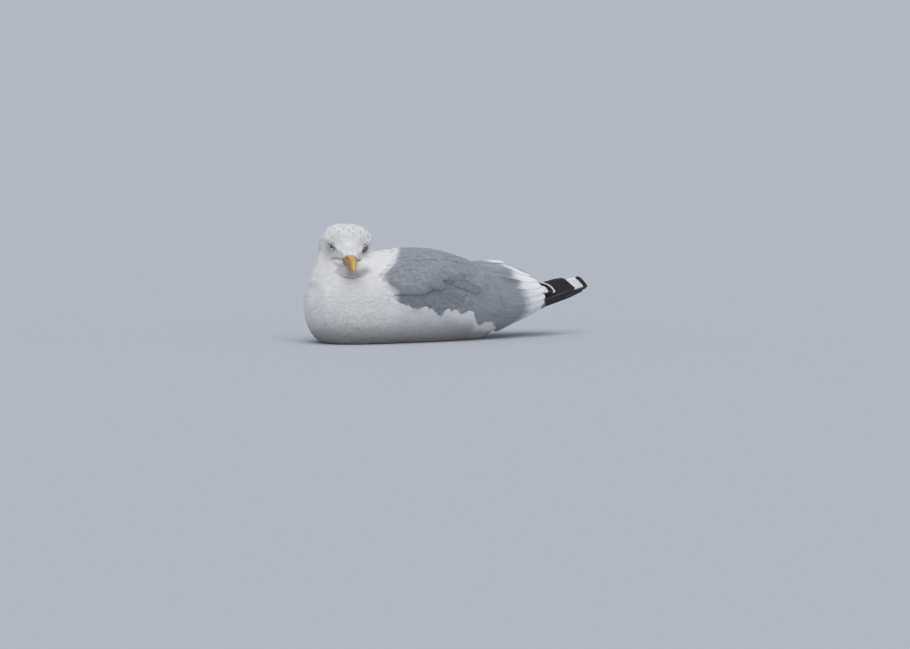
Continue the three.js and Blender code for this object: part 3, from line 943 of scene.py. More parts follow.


# %% [markdown]
# The scapulars do not lie flat. They gather in soft clumps that swell and then dip to a crease where the
# next clump begins. Each crease is a line on the barrel, with the height of the swelling above it. On the
# inside of the line the surface rises within a few millimetres and then dies away slowly. On the outside
# the height stays as it is, and the feathers get a painted shade for the clump's shadow.

# %% Clumps and creases
CREASES = [
    ([(-60.8, 19.5), (-54.4, 14.7), (-45, 9.9), (-27.4, 8.3), (-7.1, 8.2), (3, 11.0)], 2.6),
    ([(-2, 17.0), (10.7, 12.7), (22, 11.5)], 3.4),
    ([(20, 27.5), (30.8, 21.1), (44, 20.2), (60, 20.7)], 4.2),
    ([(52, 40), (60.5, 30.5), (75, 27.2)], 2.2),
    ([(46, 48.7), (61.6, 44.7), (88.1, 47.8)], 1.4),
    ([(65, 14.5), (76.6, 11.6), (88, 8.2)], 3.0),
    ([(129, -12), (124.5, 1.2), (121.1, 14.5), (117.2, 25.7), (108, 34)], 1.8),
    ([(112, 46), (131.7, 39.6), (152, 37.4)], 3.4),
    ([(137, 29), (150, 26.2), (163, 25)], 3.0),
]


def relief(x, angle):
    """Millimetres that the clumps add to the wing's reach, and how deep in their shade a spot is, 0 to 1."""
    height, shaded = np.zeros(x.shape), np.zeros(x.shape)
    here = np.stack([x, np.radians(angle) * BARREL_RADIUS], axis=-1)
    for line, swell in CREASES:
        line = np.array([(a, math.radians(b) * BARREL_RADIUS) for a, b in line])
        best = np.full(x.shape, np.inf)
        inside = np.zeros(x.shape)
        beyond = np.zeros(x.shape)
        for k, (start, end) in enumerate(zip(line[:-1], line[1:])):
            step = end - start
            size = np.linalg.norm(step)
            share = (here - start) @ step / size**2
            over = np.where(share < 0, -share * size * (k == 0), 0) + np.where(
                share > 1, (share - 1) * size * (k == len(line) - 2), 0)
            foot = start + np.clip(share, 0, 1)[..., None] * step
            away = np.linalg.norm(here - foot, axis=-1)
            cross = step[0] * (here - start)[..., 1] - step[1] * (here - start)[..., 0]
            nearer = away < best
            best = np.where(nearer, away, best)
            inside = np.where(nearer, cross > 0, inside)
            beyond = np.where(nearer, over, beyond)
        swelling = swell * (1 - np.exp(-best / 3.6)) * np.exp(-best / 24) * 1.6
        height += inside * swelling * np.exp(-((beyond / 7) ** 2))
        below = (1 - inside) * np.exp(-best / 6) * np.exp(-((beyond / 5) ** 2))
        shaded = np.maximum(shaded, below * swell / 4.2)
    return height, shaded


# %% [markdown]
# Each feather of the wing is then a short line in the barrel's terms, from its root to its tip, with a half
# width, a depth at the root and a height in the stack. Under them lies a plain body for the wing, remeshed
# from its solid and drawn in.

# %% Lay feathers on the wing
WING_DEPTH = ([-80, -60, -20, 90, 140, 180, 216], [1.6, 3.4, 4.4, 4.0, 2.7, 1.9, 1.1])
wing_bodies = {}
wing_maps = {}
for side_name in OUTWARDS:
    body = remeshed(copy_of([f"wing_{side_name}"], f"wing_body_{side_name}"), 1.6, 2)
    tucked(body, lambda points: np.interp(points[:, 0] / MM, *WING_DEPTH))
    modify(body, "SMOOTH", factor=0.5, iterations=2)
    unwrapped(body)
    wing_bodies[side_name], wing_maps[side_name] = body, map_reader(body)
    print(body.name, len(body.data.polygons), "faces")


def inside_the_white(x, angle, side):
    """How far, in millimetres, a spot lies inside the white of the neck, and inside that of the flank."""
    y = side * BARREL_RADIUS * np.cos(np.radians(angle))
    slant = 1 - (side > 0) * 0.84 * ramp(angle, 32, 40) * (1 - ramp(angle, 52, 62))
    return (white_front(angle, y) - x) * slant, 1.3 * (np.interp(x, *FLANK_TOP) - angle)


WING_CROWN = 0.04


def lay_on_wing(name, side_name, layout, rows, seed, fray, tilt):
    """One piece of wing feathers.

    A row is x and angle of the root, then of the tip, half width, depth, height, white end and rim."""
    side = OUTWARDS[side_name]
    along, across, _ = layout
    draw = np.random.default_rng(seed)
    rows = np.array(rows, float)
    x0, a0, x1, a1, half, depth, height, white, rim = (rows[:, k][:, None] for k in range(9))
    middle = np.clip((((x0 + x1) / 2 - BACK[0]) / STEP).astype(int), 0, len(BACK) - 1)
    ring = np.clip((((a0 + a1) / 2 - ROUND[0]) / STEP).astype(int), 0, len(ROUND) - 1)
    radius = wing_reach[middle, ring]
    back, down = x1 - x0, np.radians(a1 - a0) * radius
    length = np.hypot(back, down)
    ex, ea = back / length, down / length
    bow = 0.06 * length * np.sin(np.pi * along) * np.sign(down)
    x = x0 + along * back - (across * half + bow) * ea
    angle = a0 + np.degrees((along * down + (across * half + bow) * ex) / radius)
    loose = draw.normal(0, fray, x.shape) * (np.abs(across) > 0.02)
    rise = height - depth * (1 - along) ** 1.1 - WING_CROWN * half * across**2 - tilt * across + loose
    neck, flank = inside_the_white(x, angle, side)
    swell, shaded = relief(x, angle)
    rise += swell - 9 * np.maximum(ramp(neck, 5, 13), ramp(flank, 2, 9))
    corners = on_barrel(wing_reach, x, angle, rise, side).reshape(-1, 3)
    corners[:, 2] = np.maximum(corners[:, 2], 0.3 * MM)
    quads = repeated(layout, len(rows))
    if side > 0:
        quads = quads[:, ::-1]
    told = {
        "to_tip": (1 - along)[None] * length,
        "across": np.repeat(across[None], len(rows), 0),
        "tone": np.repeat(draw.random(len(rows))[:, None], len(along), 1),
        "white": np.repeat(white, len(along), 1),
        "rim": np.repeat(rim, len(along), 1),
        "pale": np.maximum(ramp(neck, -9, 1), ramp(flank, 0.5, 2.5)),
        "shade": shaded * 0.5,
    }
    spots = on_barrel(wing_reach, x0 * 0.4 + x1 * 0.6, a0 * 0.4 + a1 * 0.6, height * 0, side).reshape(-1, 3)
    maps = patches([wing_maps[side_name](Vector(p)) for p in spots], layout)
    return mesh_piece(name, corners, quads, maps, told)


# %% [markdown]
# The tracts of the folded wing: scapulars over the shoulder, that run steeply down in front and then more
# and more along the body; a flat band of coverts under them; narrow coverts that stream down to the lower
# edge; and long tertials and secondaries with broad white ends, that close the back.

# %% The tracts of the wing
TRACT_RADIUS = 72.0
SHOULDER = (
    [-67, -60.8, -54.4, -45, -27.4, -7.1, 10.7, 22, 30.8, 44, 60, 76.6, 88, 104, 118, 126],
    [31, 19.5, 14.7, 9.9, 8.3, 8.2, 12.0, 15, 20.5, 20.2, 16, 11.6, 8.2, 3, -4, -10],
)
REAR = ([-12, 1.2, 14.5, 25.7, 34, 45, 60, 75, 90], [129, 124.5, 121.1, 117.2, 112, 108, 106, 104, 104])


def slope_at(x, angle):
    """Degrees that the scapulars run downwards."""
    steep = np.interp(x, [-60, 0, 20, 50, 90, 130], [48, 60, 58, 36, 40, 38])
    return steep * np.interp(angle, [50, 86], [1.0, 0.2])


def row_of(x1, a1, slope, length, *rest):
    """A row for a tip, a slope in degrees and a length in millimetres."""
    turn = math.radians(slope)
    a0 = a1 + math.degrees(length * math.sin(turn) / TRACT_RADIUS)
    return [x1 - length * math.cos(turn), min(a0, 93), x1, a1, *rest]


def scapular_rows(draw, side):
    """Scapulars in even rows over the shoulder, and one more row along each crease that they end in."""
    rows = []
    for a1 in np.arange(-8, 94, 6.2):
        for x1 in np.arange(-70, 130, 9.5):
            x, a = x1 + draw.normal(0, 1.8), a1 + draw.normal(0, 1.3)
            neck = float(inside_the_white(x, a, side)[0])
            if neck > 2 or x > np.interp(a, *REAR) or a < np.interp(x, *SHOULDER) + 0.5:
                continue
            height = draw.normal(0, 0.12) - math.exp(neck / 9)
            rim = 0.1 if x > 60 else 0.02
            size = np.interp(x, [-60, 0, 90], [0.62, 0.9, 1.1])
            rows.append(row_of(x, a, slope_at(x, a), 40 * size, 11 * size, 1.5, height, 0, rim))
    for line, _ in CREASES[:7]:
        for t in np.arange(0, len(line) - 0.99, 0.16):
            x, a = (float(np.interp(t, np.arange(len(line)), [p[k] for p in line])) for k in range(2))
            a += 0.6
            rows.append(row_of(x, a, slope_at(x, a), 30, 7.5, 2.2, 0.45 + draw.normal(0, 0.1), 0, 0.06))
    return rows


def covert_rows(draw):
    """The flat band in front, and the narrow coverts that stream down behind it."""
    band, streams = [], []
    for a1 in np.arange(-50, 32, 5.0):
        for x1 in np.arange(-72, 134, 7.5):
            x, a = x1 + draw.normal(0, 1.2) + 3.7 * (int(a1) % 2), a1 + draw.normal(0, 0.8)
            high, low = np.interp(x, *SHOULDER) + 3, np.interp(x, *WING_EDGE) + 1.5
            if not low < a < high or x > np.interp(a, *REAR) + 2:
                continue
            if x < 58:
                slope = float(np.interp(x, [-70, 20, 60], [10, 22, 40]))
                band.append(row_of(x, a, slope, 27, 8.5, 2.2, -1.0 + draw.normal(0, 0.1), 0, 0.02))
            else:
                height = -0.7 + draw.normal(0, 0.12)
                streams.append(row_of(x, a, 47, 40, 5.6, 2.4, height, 0, 0.08 + 0.2 * draw.random()))
    return band, streams


def tertial_rows():
    """Tertials and secondaries: root and tip, half width, and how long the white end is."""
    quills = [
        (82, 90, 202, 88, 12, 72), (80, 86, 204, 80, 12, 68), (78, 74, 208, 60, 13, 64),
        (76, 62, 211, 42, 13, 58), (74, 52, 213, 26, 13, 50), (72, 42, 214, 12, 13, 43),
        (70, 34, 214, -2, 13, 37), (68, 26, 212, -14, 13, 34), (66, 19, 208, -24, 12, 32),
        (64, 12, 201, -31, 11, 30), (62, 6, 190, -36, 11, 24), (60, 1, 177, -40, 10, 18),
        (56, -4, 163, -43, 10, 15), (50, -8, 149, -45, 10, 13), (40, -10, 134, -45, 10, 11),
        (30, -10, 119, -43, 10, 10), (20, -8, 104, -39, 10, 10),
    ]
    return [
        [*ends, half, 1.3, 0.53 - 0.03 * i, white, 0.28]
        for i, (*ends, half, white) in enumerate(quills)
    ]


wing_coats = {}
for side_name, side in OUTWARDS.items():
    draw = np.random.default_rng(31 if side_name == "left" else 32)
    band, streams = covert_rows(draw)
    for key, layout, rows, fray, tilt in [
        ("tertials", TERTIAL, tertial_rows(), 0.0, 0.7),
        ("streams", COVERT, streams, 0.03, 0.25),
        ("coverts", WING_VANE, band, 0.06, 0.0),
        ("scapulars", WING_VANE, scapular_rows(draw, side), 0.06, 0.0),
    ]:
        name = f"{key}_{side_name}"
        wing_coats[name] = lay_on_wing(name, side_name, layout, rows, 40 + len(wing_coats), fray, tilt)
        print(name, len(rows), "feathers")


# %% [markdown]
# The hand's primaries reach far past the body. Each is one long quill on a curve from root to tip, thin and
# stiff, with a solid thickness. The longest has a white patch inside its black tip, and the two shortest have
# white ends. The tail's quills lie flat between them.

# %% Primaries and tail
QUILL_CROWN = 0.8  # how far the middle of a quill stands over its sides, in millimetres


def quill_on_curve(root, bend, tip, wide, upper, lower, layout):
    """Corners of one quill along a curve, and how far each is from the tip and from the end's edge.

    `upper` and `lower` give the widths of the two vanes: shares of the length, and millimetres."""
    along, across, _ = layout
    t = along[:, None]
    root, bend, tip = (np.array(p, float) for p in (root, bend, tip))
    spine = (1 - t) ** 2 * root + 2 * t * (1 - t) * bend + t**2 * tip
    ahead = 2 * (1 - t) * (bend - root) + 2 * t * (tip - bend)
    wide = np.array(wide, float) / np.linalg.norm(wide)
    thin = np.cross(ahead, wide)
    thin /= np.linalg.norm(thin, axis=1, keepdims=True)
    is_upper = across > 0
    width = np.where(is_upper, np.interp(along, *upper), np.interp(along, *lower)) * np.abs(across)
    corners = spine + wide * (np.sign(across) * width)[:, None] - thin * (QUILL_CROWN * across**2)[:, None]
    reach = np.linalg.norm(tip - root)
    end = np.where(is_upper, last_share(upper, width), last_share(lower, width))
    return corners, (1 - along) * reach, (end - along) * reach


def last_share(widths, width):
    """How far along a vane still has this width."""
    shares, sizes = (np.array(part, float) for part in widths)
    peak = int(np.nonzero(sizes > 0.85 * sizes.max())[0][-1])
    return np.interp(width, sizes[peak:][::-1], shares[peak:][::-1])


# Root, bend, tip, widths of the upper and lower vane, white end, and a mirror or none.
PRIMARIES = [
    ((150, -28, 30), (222, -35, 46), (290, -14, 62),
     ([0, 0.8, 1], [10, 12, 1]),
     ([0, 0.8, 1], [4, 3, 1]), 0, 0),
    ((150, -26, 33), (224, -33, 49), (301, -10, 67.9),
     ([0, 0.5, 0.73, 0.79, 0.87, 0.905, 0.94, 0.985, 1], [10, 16, 21, 20.9, 19.6, 18.5, 13.5, 4.8, 0.8]),
     ([0, 0.7, 0.87, 0.95, 0.98, 1], [5, 4, 1.5, 2.6, 2.2, 0.5]), 0, 1),
    ((150, -30, 36), (216, -35.5, 50), (276.4, -16, 66.3),
     ([0, 0.53, 0.69, 0.8, 0.835, 0.87, 0.96, 1], [18, 26.3, 25, 22.4, 20.5, 17, 5.5, 0.6]),
     ([0, 0.53, 0.73, 0.87, 0.96, 1], [8, 9, 9.2, 6.6, 3, 0.5]), 0, 0),
    ((150, -32, 44), (200, -34.5, 66), (234.4, -31, 63.3),
     ([0, 0.5, 0.72, 0.85, 0.93, 0.98, 1], [10, 14, 14.6, 10.8, 7.2, 3.2, 0.6]),
     ([0, 0.8, 0.93, 0.98, 1], [5, 4.5, 3.4, 2.2, 0.5]), 4.2, 0),
    ((150, -33, 46), (192, -36, 66), (221, -33.8, 64.0),
     ([0, 0.7, 0.85, 0.93, 0.98, 1], [9, 9.5, 8.4, 6.4, 3.2, 0.6]),
     ([0, 0.8, 0.93, 0.98, 1], [5, 5, 3.6, 2.0, 0.5]), 14, 0),
]


def quill_piece(name, quills, layout, seed, flip):
    """Solid quills in one mesh. Each is its corners, tip distances, edge distances, white end and mirror."""
    along, across, _ = layout
    draw = np.random.default_rng(seed)
    count = len(quills)
    corners, to_tip, to_edge, white, mirror = zip(*quills)
    quads = repeated(layout, count)
    column = 0.96 / count
    local = np.stack([across * 0.46 * column, along * 0.96], axis=1)
    maps = np.concatenate([local + [0.02 + column * (i + 0.5), 0.02] for i in range(count)])
    told = {
        "to_tip": np.concatenate(to_tip),
        "to_edge": np.concatenate(to_edge),
        "across": np.tile(across, count),
        "tone": np.repeat(draw.random(count), len(along)),
        "white": np.repeat(white, len(along)),
        "mirror": np.repeat(mirror, len(along)),
    }
    corners = np.concatenate(corners) * MM
    piece = mesh_piece(name, corners, quads[:, ::-1] if flip else quads, maps, told)
    return modify(piece, "SOLIDIFY", thickness=0.4 * MM, offset=-1)


quill_pieces = {}
for side_name, sign, lifts in [("left", 1, (0, 0, 0)), ("right", -1, (0, -14, -7))]:
    quills = []
    for *line, upper, lower, white, mirror in PRIMARIES:
        line = [(x, sign * y, z + lift) for (x, y, z), lift in zip(line, lifts)]
        quills.append((*quill_on_curve(*line, (0.05, 0.25 * sign, 1), upper, lower, PRIMARY), white, mirror))
    name = f"primary_quills_{side_name}"
    quill_pieces[name] = quill_piece(name, quills, PRIMARY, 70 + sign, flip=sign > 0)

tail_quills = []
for i in range(11):
    side = (i - 5) / 5
    level = 50.6 - 4 * side**2 - 0.5 * abs(i - 5)
    line = (118, side * 14, level - 1), (180, side * 18, level), (246 - 7 * side**2, side * 16, level + 2)
    vane = ([0, 1], [8.0, 8.0])
    tail_quills.append((*quill_on_curve(*line, (0, 1, 0), vane, vane, TERTIAL), 0, 0))
quill_pieces["tail_quills"] = quill_piece("tail_quills", tail_quills, TERTIAL, 80, flip=True)
print("quills:", {name: len(piece.data.polygons) for name, piece in quill_pieces.items()})


# %% [markdown]
# The bill is horn over bone. A fine remesh of each half's solid keeps its outline and rounds its facets.
# The nostril is a slot that is pushed in on each side, and the cutting edges stay as a dark line between
# the halves.

# %% The bill
NOSTRIL = (56, -8.3)  # along and up, in the head's frame


def fine_bill(node):
    """One half of the bill, smooth, and with the nostril and the low ridge over it if it is the upper one."""
    piece = remeshed(copy_of([node], f"{node}_horn"), 0.55, 3)
    points, normals, _ = arrays_of(piece)
    h = in_head(points)
    if node == "bill_upper":
        along = h[:, 0] - NOSTRIL[0]
        slot = np.hypot(along / 5.2, (h[:, 2] - NOSTRIL[1] + 0.1 * along) / 1.35)
        points -= normals * (1.7 * MM * (1 - ramp(slot, 0.45, 1.1)))[:, None]
        ridge = np.hypot((h[:, 0] - 55) / 8, (h[:, 2] + 6.4) / 1.5)
        points += normals * (0.35 * MM * (1 - ramp(ridge, 0.4, 1.2)))[:, None]
    return unwrapped(with_points(piece, points))


bill_pieces = {node: fine_bill(node) for node in BILL}
print("bill faces:", [len(p.data.polygons) for p in bill_pieces.values()])


# %% [markdown]
# Each eye is a glossy ball with a pale iris and a small pupil, painted by the angle from its axis. Round it
# lies a thin ring of bare skin, and an upper lid that hangs a little over the ball gives the gull its stern
# look.

# %% Eyes and lids
def settled(name=None):
    """The object that was just added, with its place and turn put into its mesh."""
    bpy.ops.object.transform_apply(location=True, rotation=True, scale=True)
    piece = bpy.context.active_object
    if name:
        piece.name = piece.data.name = name
    return piece


def sphere_at(side, radius, turn):
    bpy.ops.object.select_all(action="DESELECT")
    centre = in_world(EYE_CENTRES[side])
    bpy.ops.mesh.primitive_uv_sphere_add(
        segments=48, ring_count=32, radius=radius * MM, location=centre, rotation=turn)


eyes, lids = {}, {}
for side in EYE_CENTRES:
    turn = (HEAD.to_3x3() @ EYE_AXES[side]).to_track_quat("Z", "Y").to_euler()
    sphere_at(side, EYE_RADIUS, turn)
    ball = settled(f"eyeball_{side}")
    bpy.ops.object.shade_smooth()
    eyes[side] = unwrapped(ball)

    bpy.ops.object.select_all(action="DESELECT")
    ring_place = in_world(EYE_CENTRES[side] + EYE_AXES[side] * 5.6)
    bpy.ops.mesh.primitive_torus_add(
        major_segments=48, minor_segments=12, major_radius=5.7 * MM, minor_radius=0.8 * MM,
        location=ring_place, rotation=turn)
    ring = settled()

    sphere_at(side, EYE_RADIUS + 0.3, turn)
    lid = settled()
    bpy.ops.object.mode_set(mode="EDIT")
    bpy.ops.mesh.select_all(action="SELECT")
    edge_point, up = lid_plane(side)
    bpy.ops.mesh.bisect(plane_co=edge_point, plane_no=up, clear_inner=True, use_fill=True)
    bpy.ops.object.mode_set(mode="OBJECT")
    only(ring, lid)
    bpy.ops.object.join()
    ring.name = ring.data.name = f"eyelids_{side}"
    remeshed(ring, 0.4, 2)
    bpy.ops.object.shade_smooth()
    lids[side] = unwrapped(ring)
    print(ball.name, ring.name, len(ring.data.polygons), "faces")


# %% [markdown]
# Paint is built from nodes. Sums on sockets are written as plain Python sums: a small class holds a socket,
# and each operator adds one Math node. Every other node comes from one method.

# %% A small language for paint
def arithmetic(operation, swap=False):
    """A method that joins two amounts with a Math node."""

    def method(self, other):
        first, second = (other, self) if swap else (self, other)
        return self.paint.add("ShaderNodeMath", {"operation": operation}, {0: first, 1: second})

    return method


class Amount:
    """A number socket that takes part in Python sums."""

    def __init__(self, paint, socket):
        self.paint, self.socket = paint, socket

    def __abs__(self):
        return self.paint.add("ShaderNodeMath", {"operation": "ABSOLUTE"}, {0: self})

    __add__ = arithmetic("ADD")
    __radd__ = arithmetic("ADD", swap=True)
    __sub__ = arithmetic("SUBTRACT")
    __rsub__ = arithmetic("SUBTRACT", swap=True)
    __mul__ = arithmetic("MULTIPLY")
    __truediv__ = arithmetic("DIVIDE")
    __pow__ = arithmetic("POWER")


class Paint:
    """One material, and the methods that add its nodes."""

    def __init__(self, name, colour, roughness, **sockets):
        self.material = bpy.data.materials.new(name)
        self.material.use_nodes = True
        self.tree = self.material.node_tree
        self.shader = self.tree.nodes["Principled BSDF"]
        self.set("Base Color", colour)
        self.set("Roughness", roughness)
        for key, value in sockets.items():
            self.set(key.replace("_", " "), value)

    def _feed(self, socket, value):
        if isinstance(value, Amount):
            self.tree.links.new(value.socket, socket)
        elif isinstance(value, (tuple, list)) and len(value) == 3 and socket.type == "RGBA":
            socket.default_value = (*value, 1)
        else:
            socket.default_value = value

    def add(self, kind, settings=None, inputs=None, output=0):
        """Adds a node: its type, its settings, what goes into its sockets, and the output that is wanted."""
        node = self.tree.nodes.new(kind)
        for key, value in (settings or {}).items():
            setattr(node, key, value)
        for key, value in (inputs or {}).items():
            self._feed(node.inputs[key], value)
        return Amount(self, node.outputs[output])

    def set(self, key, value):
        """Feeds an input of the shader."""
        self._feed(self.shader.inputs[key], value)

    def number(self, name):
        """A number that the mesh carries."""
        return self.add("ShaderNodeAttribute", {"attribute_name": name}, output="Fac")

    def place(self):
        """The place in the scene, in metres."""
        return self.add("ShaderNodeTexCoord", output="Object")

    def axis(self, number, vector=None):
        """One part of a vector, or of the place."""
        return self.add("ShaderNodeSeparateXYZ", {}, {0: vector or self.place()}, output=number)

    def dot(self, first, second):
        return self.vector("DOT_PRODUCT", first, {1: second}, "Value")

    def scaled(self, colour, share):
        return self.vector("SCALE", colour, {"Scale": share})

    def vector(self, operation, first, others, output=0):
        return self.add("ShaderNodeVectorMath", {"operation": operation}, {0: first, **others}, output)

    def barbs(self, slant, fineness):
        """Fine waves along the barbs, from the numbers that every vane carries."""
        phase = (self.number("to_tip") + abs(self.number("across")) * slant) * fineness
        return self.add("ShaderNodeMath", {"operation": "SINE"}, {0: phase})

    def soft(self, value, low, high):
        """0 below `low`, 1 above `high`, and smooth between."""
        ends = {"Value": value, "From Min": low, "From Max": high}
        return self.add("ShaderNodeMapRange", {"interpolation_type": "SMOOTHSTEP"}, ends)

    def noise(self, scale, detail=3.0):
        return self.add("ShaderNodeTexNoise", {}, {"Vector": self.place(), "Scale": scale, "Detail": detail})

    def mix(self, share, first, second):
        inputs = {"Factor": share, 6: first, 7: second}
        return self.add("ShaderNodeMix", {"data_type": "RGBA"}, inputs, output=2)

    def bump(self, height, distance, strength):
        inputs = {"Height": height, "Distance": distance, "Strength": strength}
        self.set("Normal", self.add("ShaderNodeBump", {}, inputs))


WHITE = (0.745, 0.737, 0.727)
BRIGHT = (0.87, 0.87, 0.87)
GREY = (0.285, 0.303, 0.335)
BLACK = (0.012, 0.011, 0.013)
COVERT_GREY = (0.245, 0.262, 0.295)


# %% [markdown]
# Feather paint: each feather has a slightly different tone. Fine waves along the barbs come from how far a
# spot is from the tip and from the shaft. A grey feather is paler along its fringe and may end white, and
# gets painted shade where the next feather overlaps it. Low on the body and low on the wing the coat gets
# painted shade, and the flank's lobes get a painted highlight instead. The numbers that the meshes carry add
# the painted shade in hollows and creases, and the flecks.

# %% Feather paint
def feather_paint(name, base, tone_swing, fringe=0.0):
    paint = Paint(name, base, 0.85, Specular_IOR_Level=0.25, Sheen_Weight=0.15, Sheen_Roughness=0.5)
    to_tip, across, tone = paint.number("to_tip"), paint.number("across"), paint.number("tone")
    height, white = paint.axis(2), paint.number("white")
    barb = paint.barbs(3.0, 9.0)
    tint = 1.0 + (tone - 0.5) * tone_swing + barb * 0.036 + (paint.noise(45.0) - 0.5) * 0.16
    if base != WHITE:
        # Painted shade along the side of each grey feather that lies under the next one.
        tint = tint - paint.soft(across, -0.2, 0.8) * 0.16
    colour = paint.scaled(base, tint)
    if fringe:
        edge = paint.soft(abs(across), 0.8, 1.0) + (1.0 - paint.soft(to_tip, 0.3, 1.8))
        colour = paint.mix(paint.soft(edge, 0.0, 1.0) * paint.number("rim") * fringe, colour, WHITE)
    ragged = to_tip + (paint.noise(150.0, 2.0) - 0.5) * 14.0
    ended = paint.soft(white - ragged, -6.0, 18.0) * paint.soft(white, 0.5, 3.0) * 0.9
    colour = paint.mix(ended, colour, BRIGHT)
    if base == WHITE:
        # The flank's lobes get a painted highlight, and less of the painted shade below.
        lobe_highlight = paint.number("lobe_highlight")
        colour = paint.mix(lobe_highlight * 0.6, colour, BRIGHT)
        # Painted shade low on the body, less of it towards the tail.
        low = (1.0 - paint.soft(height, 2 * MM, 60 * MM)) ** 2.0 * 0.92 * (1.0 - lobe_highlight * 0.9)
        low = low * (1.0 - paint.soft(paint.axis(0), 70 * MM, 120 * MM) * 0.8)
        colour = paint.mix(low, colour, (0.27, 0.265, 0.26))
        colour = paint.mix(paint.number("shade"), colour, (0.06, 0.057, 0.055))
    else:
        # Painted shade low on the wing.
        low = 1.0 - paint.soft(height, 14 * MM, 46 * MM)
        colour = paint.mix(low * 0.32, colour, (0.1, 0.105, 0.115))
        colour = paint.mix(paint.number("shade"), colour, (0.1, 0.105, 0.12))
    colour = paint.mix(paint.number("pale") * 0.95, colour, WHITE)
    fleck = paint.number("fleck") * (1.0 - paint.soft(abs(across), 0.15, 0.8))
    paint.set("Base Color", paint.mix(fleck, colour, (0.11, 0.1, 0.1)))
    paint.bump(barb * 0.5 + 0.5, 0.05 * MM, 0.5)
    return paint.material


white_paint = feather_paint("white_plumage", WHITE, 0.06)
grey_paint = feather_paint("grey_plumage", GREY, 0.1, fringe=0.5)
covert_paint = feather_paint("covert_plumage", COVERT_GREY, 0.1, fringe=0.5)
tertial_paint = feather_paint("tertial_plumage", GREY, 0.14, fringe=0.5)
tail_paint = feather_paint("tail_plumage", WHITE, 0.05)


# %% Quill paint
def primary_paint():
    """Black, with a paler shaft, some white ends, and a white mirror inside the longest quill's black tip."""
    paint = Paint("black_quill", BLACK, 0.5, Specular_IOR_Level=0.4)
    to_tip, across = paint.number("to_tip"), paint.number("across")
    barb = paint.barbs(6.0, 7.0)
    colour = paint.scaled(BLACK, 0.8 + paint.noise(90.0) * 0.7 + barb * 0.15)
    shaft = 1.0 - paint.soft(abs(across), 0.03, 0.1)
    colour = paint.mix(shaft * 0.7, colour, (0.09, 0.075, 0.07))
    edge = paint.number("to_edge") + (paint.noise(300.0) - 0.5) * 2.0
    ended = paint.soft(paint.number("white") - edge, -0.4, 0.6) * paint.soft(across, -0.75, -0.45)
    mirror = paint.number("mirror") * paint.soft(edge, 7.6, 8.4) * (1.0 - paint.soft(to_tip, 44.0, 48.0))
    mirror = mirror * paint.soft(across, 0.06, 0.16)
    colour = paint.mix(ended, colour, WHITE)
    paint.set("Base Color", paint.mix(mirror, colour, WHITE))
    paint.bump(barb * 0.5 + 0.5, 0.05 * MM, 0.6)
    return paint.material


black_paint = primary_paint()


# %% Skin and wing body paint
def under_paint(name, base):
    """What may show between feathers: the plumage's own colour, a little darker and rougher."""
    paint = Paint(name, base, 0.95)
    cloud = paint.noise(160.0, 4.0)
    colour = paint.scaled(base, 0.78 + cloud * 0.2)
    if base == WHITE:
        colour = paint.mix(paint.number("mantle"), colour, GREY)
    paint.set("Base Color", colour)
    paint.bump(cloud, 0.3 * MM, 0.6)
    return paint.material


skin_paint = under_paint("skin_down", WHITE)
wing_body_paint = under_paint("wing_down", GREY)


# %% [markdown]
# The bill is yellow, paler towards the tip, with a red spot at the angle of the lower half and a dark slot
# at the nostril. A Mapping node brings the scene's places into the head's frame, where these spots are easy
# to state.

# %% Bill paint
def head_coordinates(paint):
    """Millimetres along, across and up in the head's frame."""
    move = {"Location": TO_HEAD.translation, "Rotation": TO_HEAD.to_3x3().to_euler("XYZ")}
    mapped = paint.add("ShaderNodeMapping", {"vector_type": "POINT"}, {"Vector": paint.place(), **move})
    return [paint.axis(k, mapped) / MM for k in range(3)]


def bill_paint(name, spot):
    paint = Paint(name, (0.62, 0.4, 0.06), 0.38, Specular_IOR_Level=0.5, Coat_Weight=0.15, Coat_Roughness=0.2)
    x, y, z = head_coordinates(paint)
    cloud, grain = paint.noise(110.0), paint.noise(500.0)
    colour = paint.mix(paint.soft(x, 38.0, 62.0), (0.48, 0.33, 0.06), (0.6, 0.36, 0.015))
    # Painted shade: both sides of the bill are darker and browner than its lit ridge, with a ragged edge.
    aside = paint.soft(abs(y) + cloud * 1.6, 3.0, 6.2)
    colour = paint.mix(aside * 0.8, colour, (0.34, 0.15, 0.04))
    colour = paint.mix(paint.soft(x, 76.0, 88.0) * 0.6, colour, (0.6, 0.48, 0.2))
    colour = paint.mix(paint.soft(cloud, 0.45, 0.75) * 0.3, colour, (0.36, 0.2, 0.06))
    if spot:
        away = ((x - 66.0) ** 2.0 + (z + 21.5) ** 2.0 * 2.2) ** 0.5
        colour = paint.mix(1.0 - paint.soft(away + cloud * 3.0, 4.5, 8.0), colour, (0.45, 0.03, 0.015))
    else:
        along = x - NOSTRIL[0]
        slot = ((along / 5.0) ** 2.0 + ((z - NOSTRIL[1] + along * 0.1) / 1.2) ** 2.0) ** 0.5
        colour = paint.mix((1.0 - paint.soft(slot, 0.6, 1.1)) * 0.9, colour, (0.05, 0.02, 0.01))
    paint.set("Base Color", colour)
    paint.set("Roughness", 0.32 + grain * 0.16)
    paint.bump(grain * 0.4 + cloud * 0.6, 0.12 * MM, 0.4)
    return paint.material


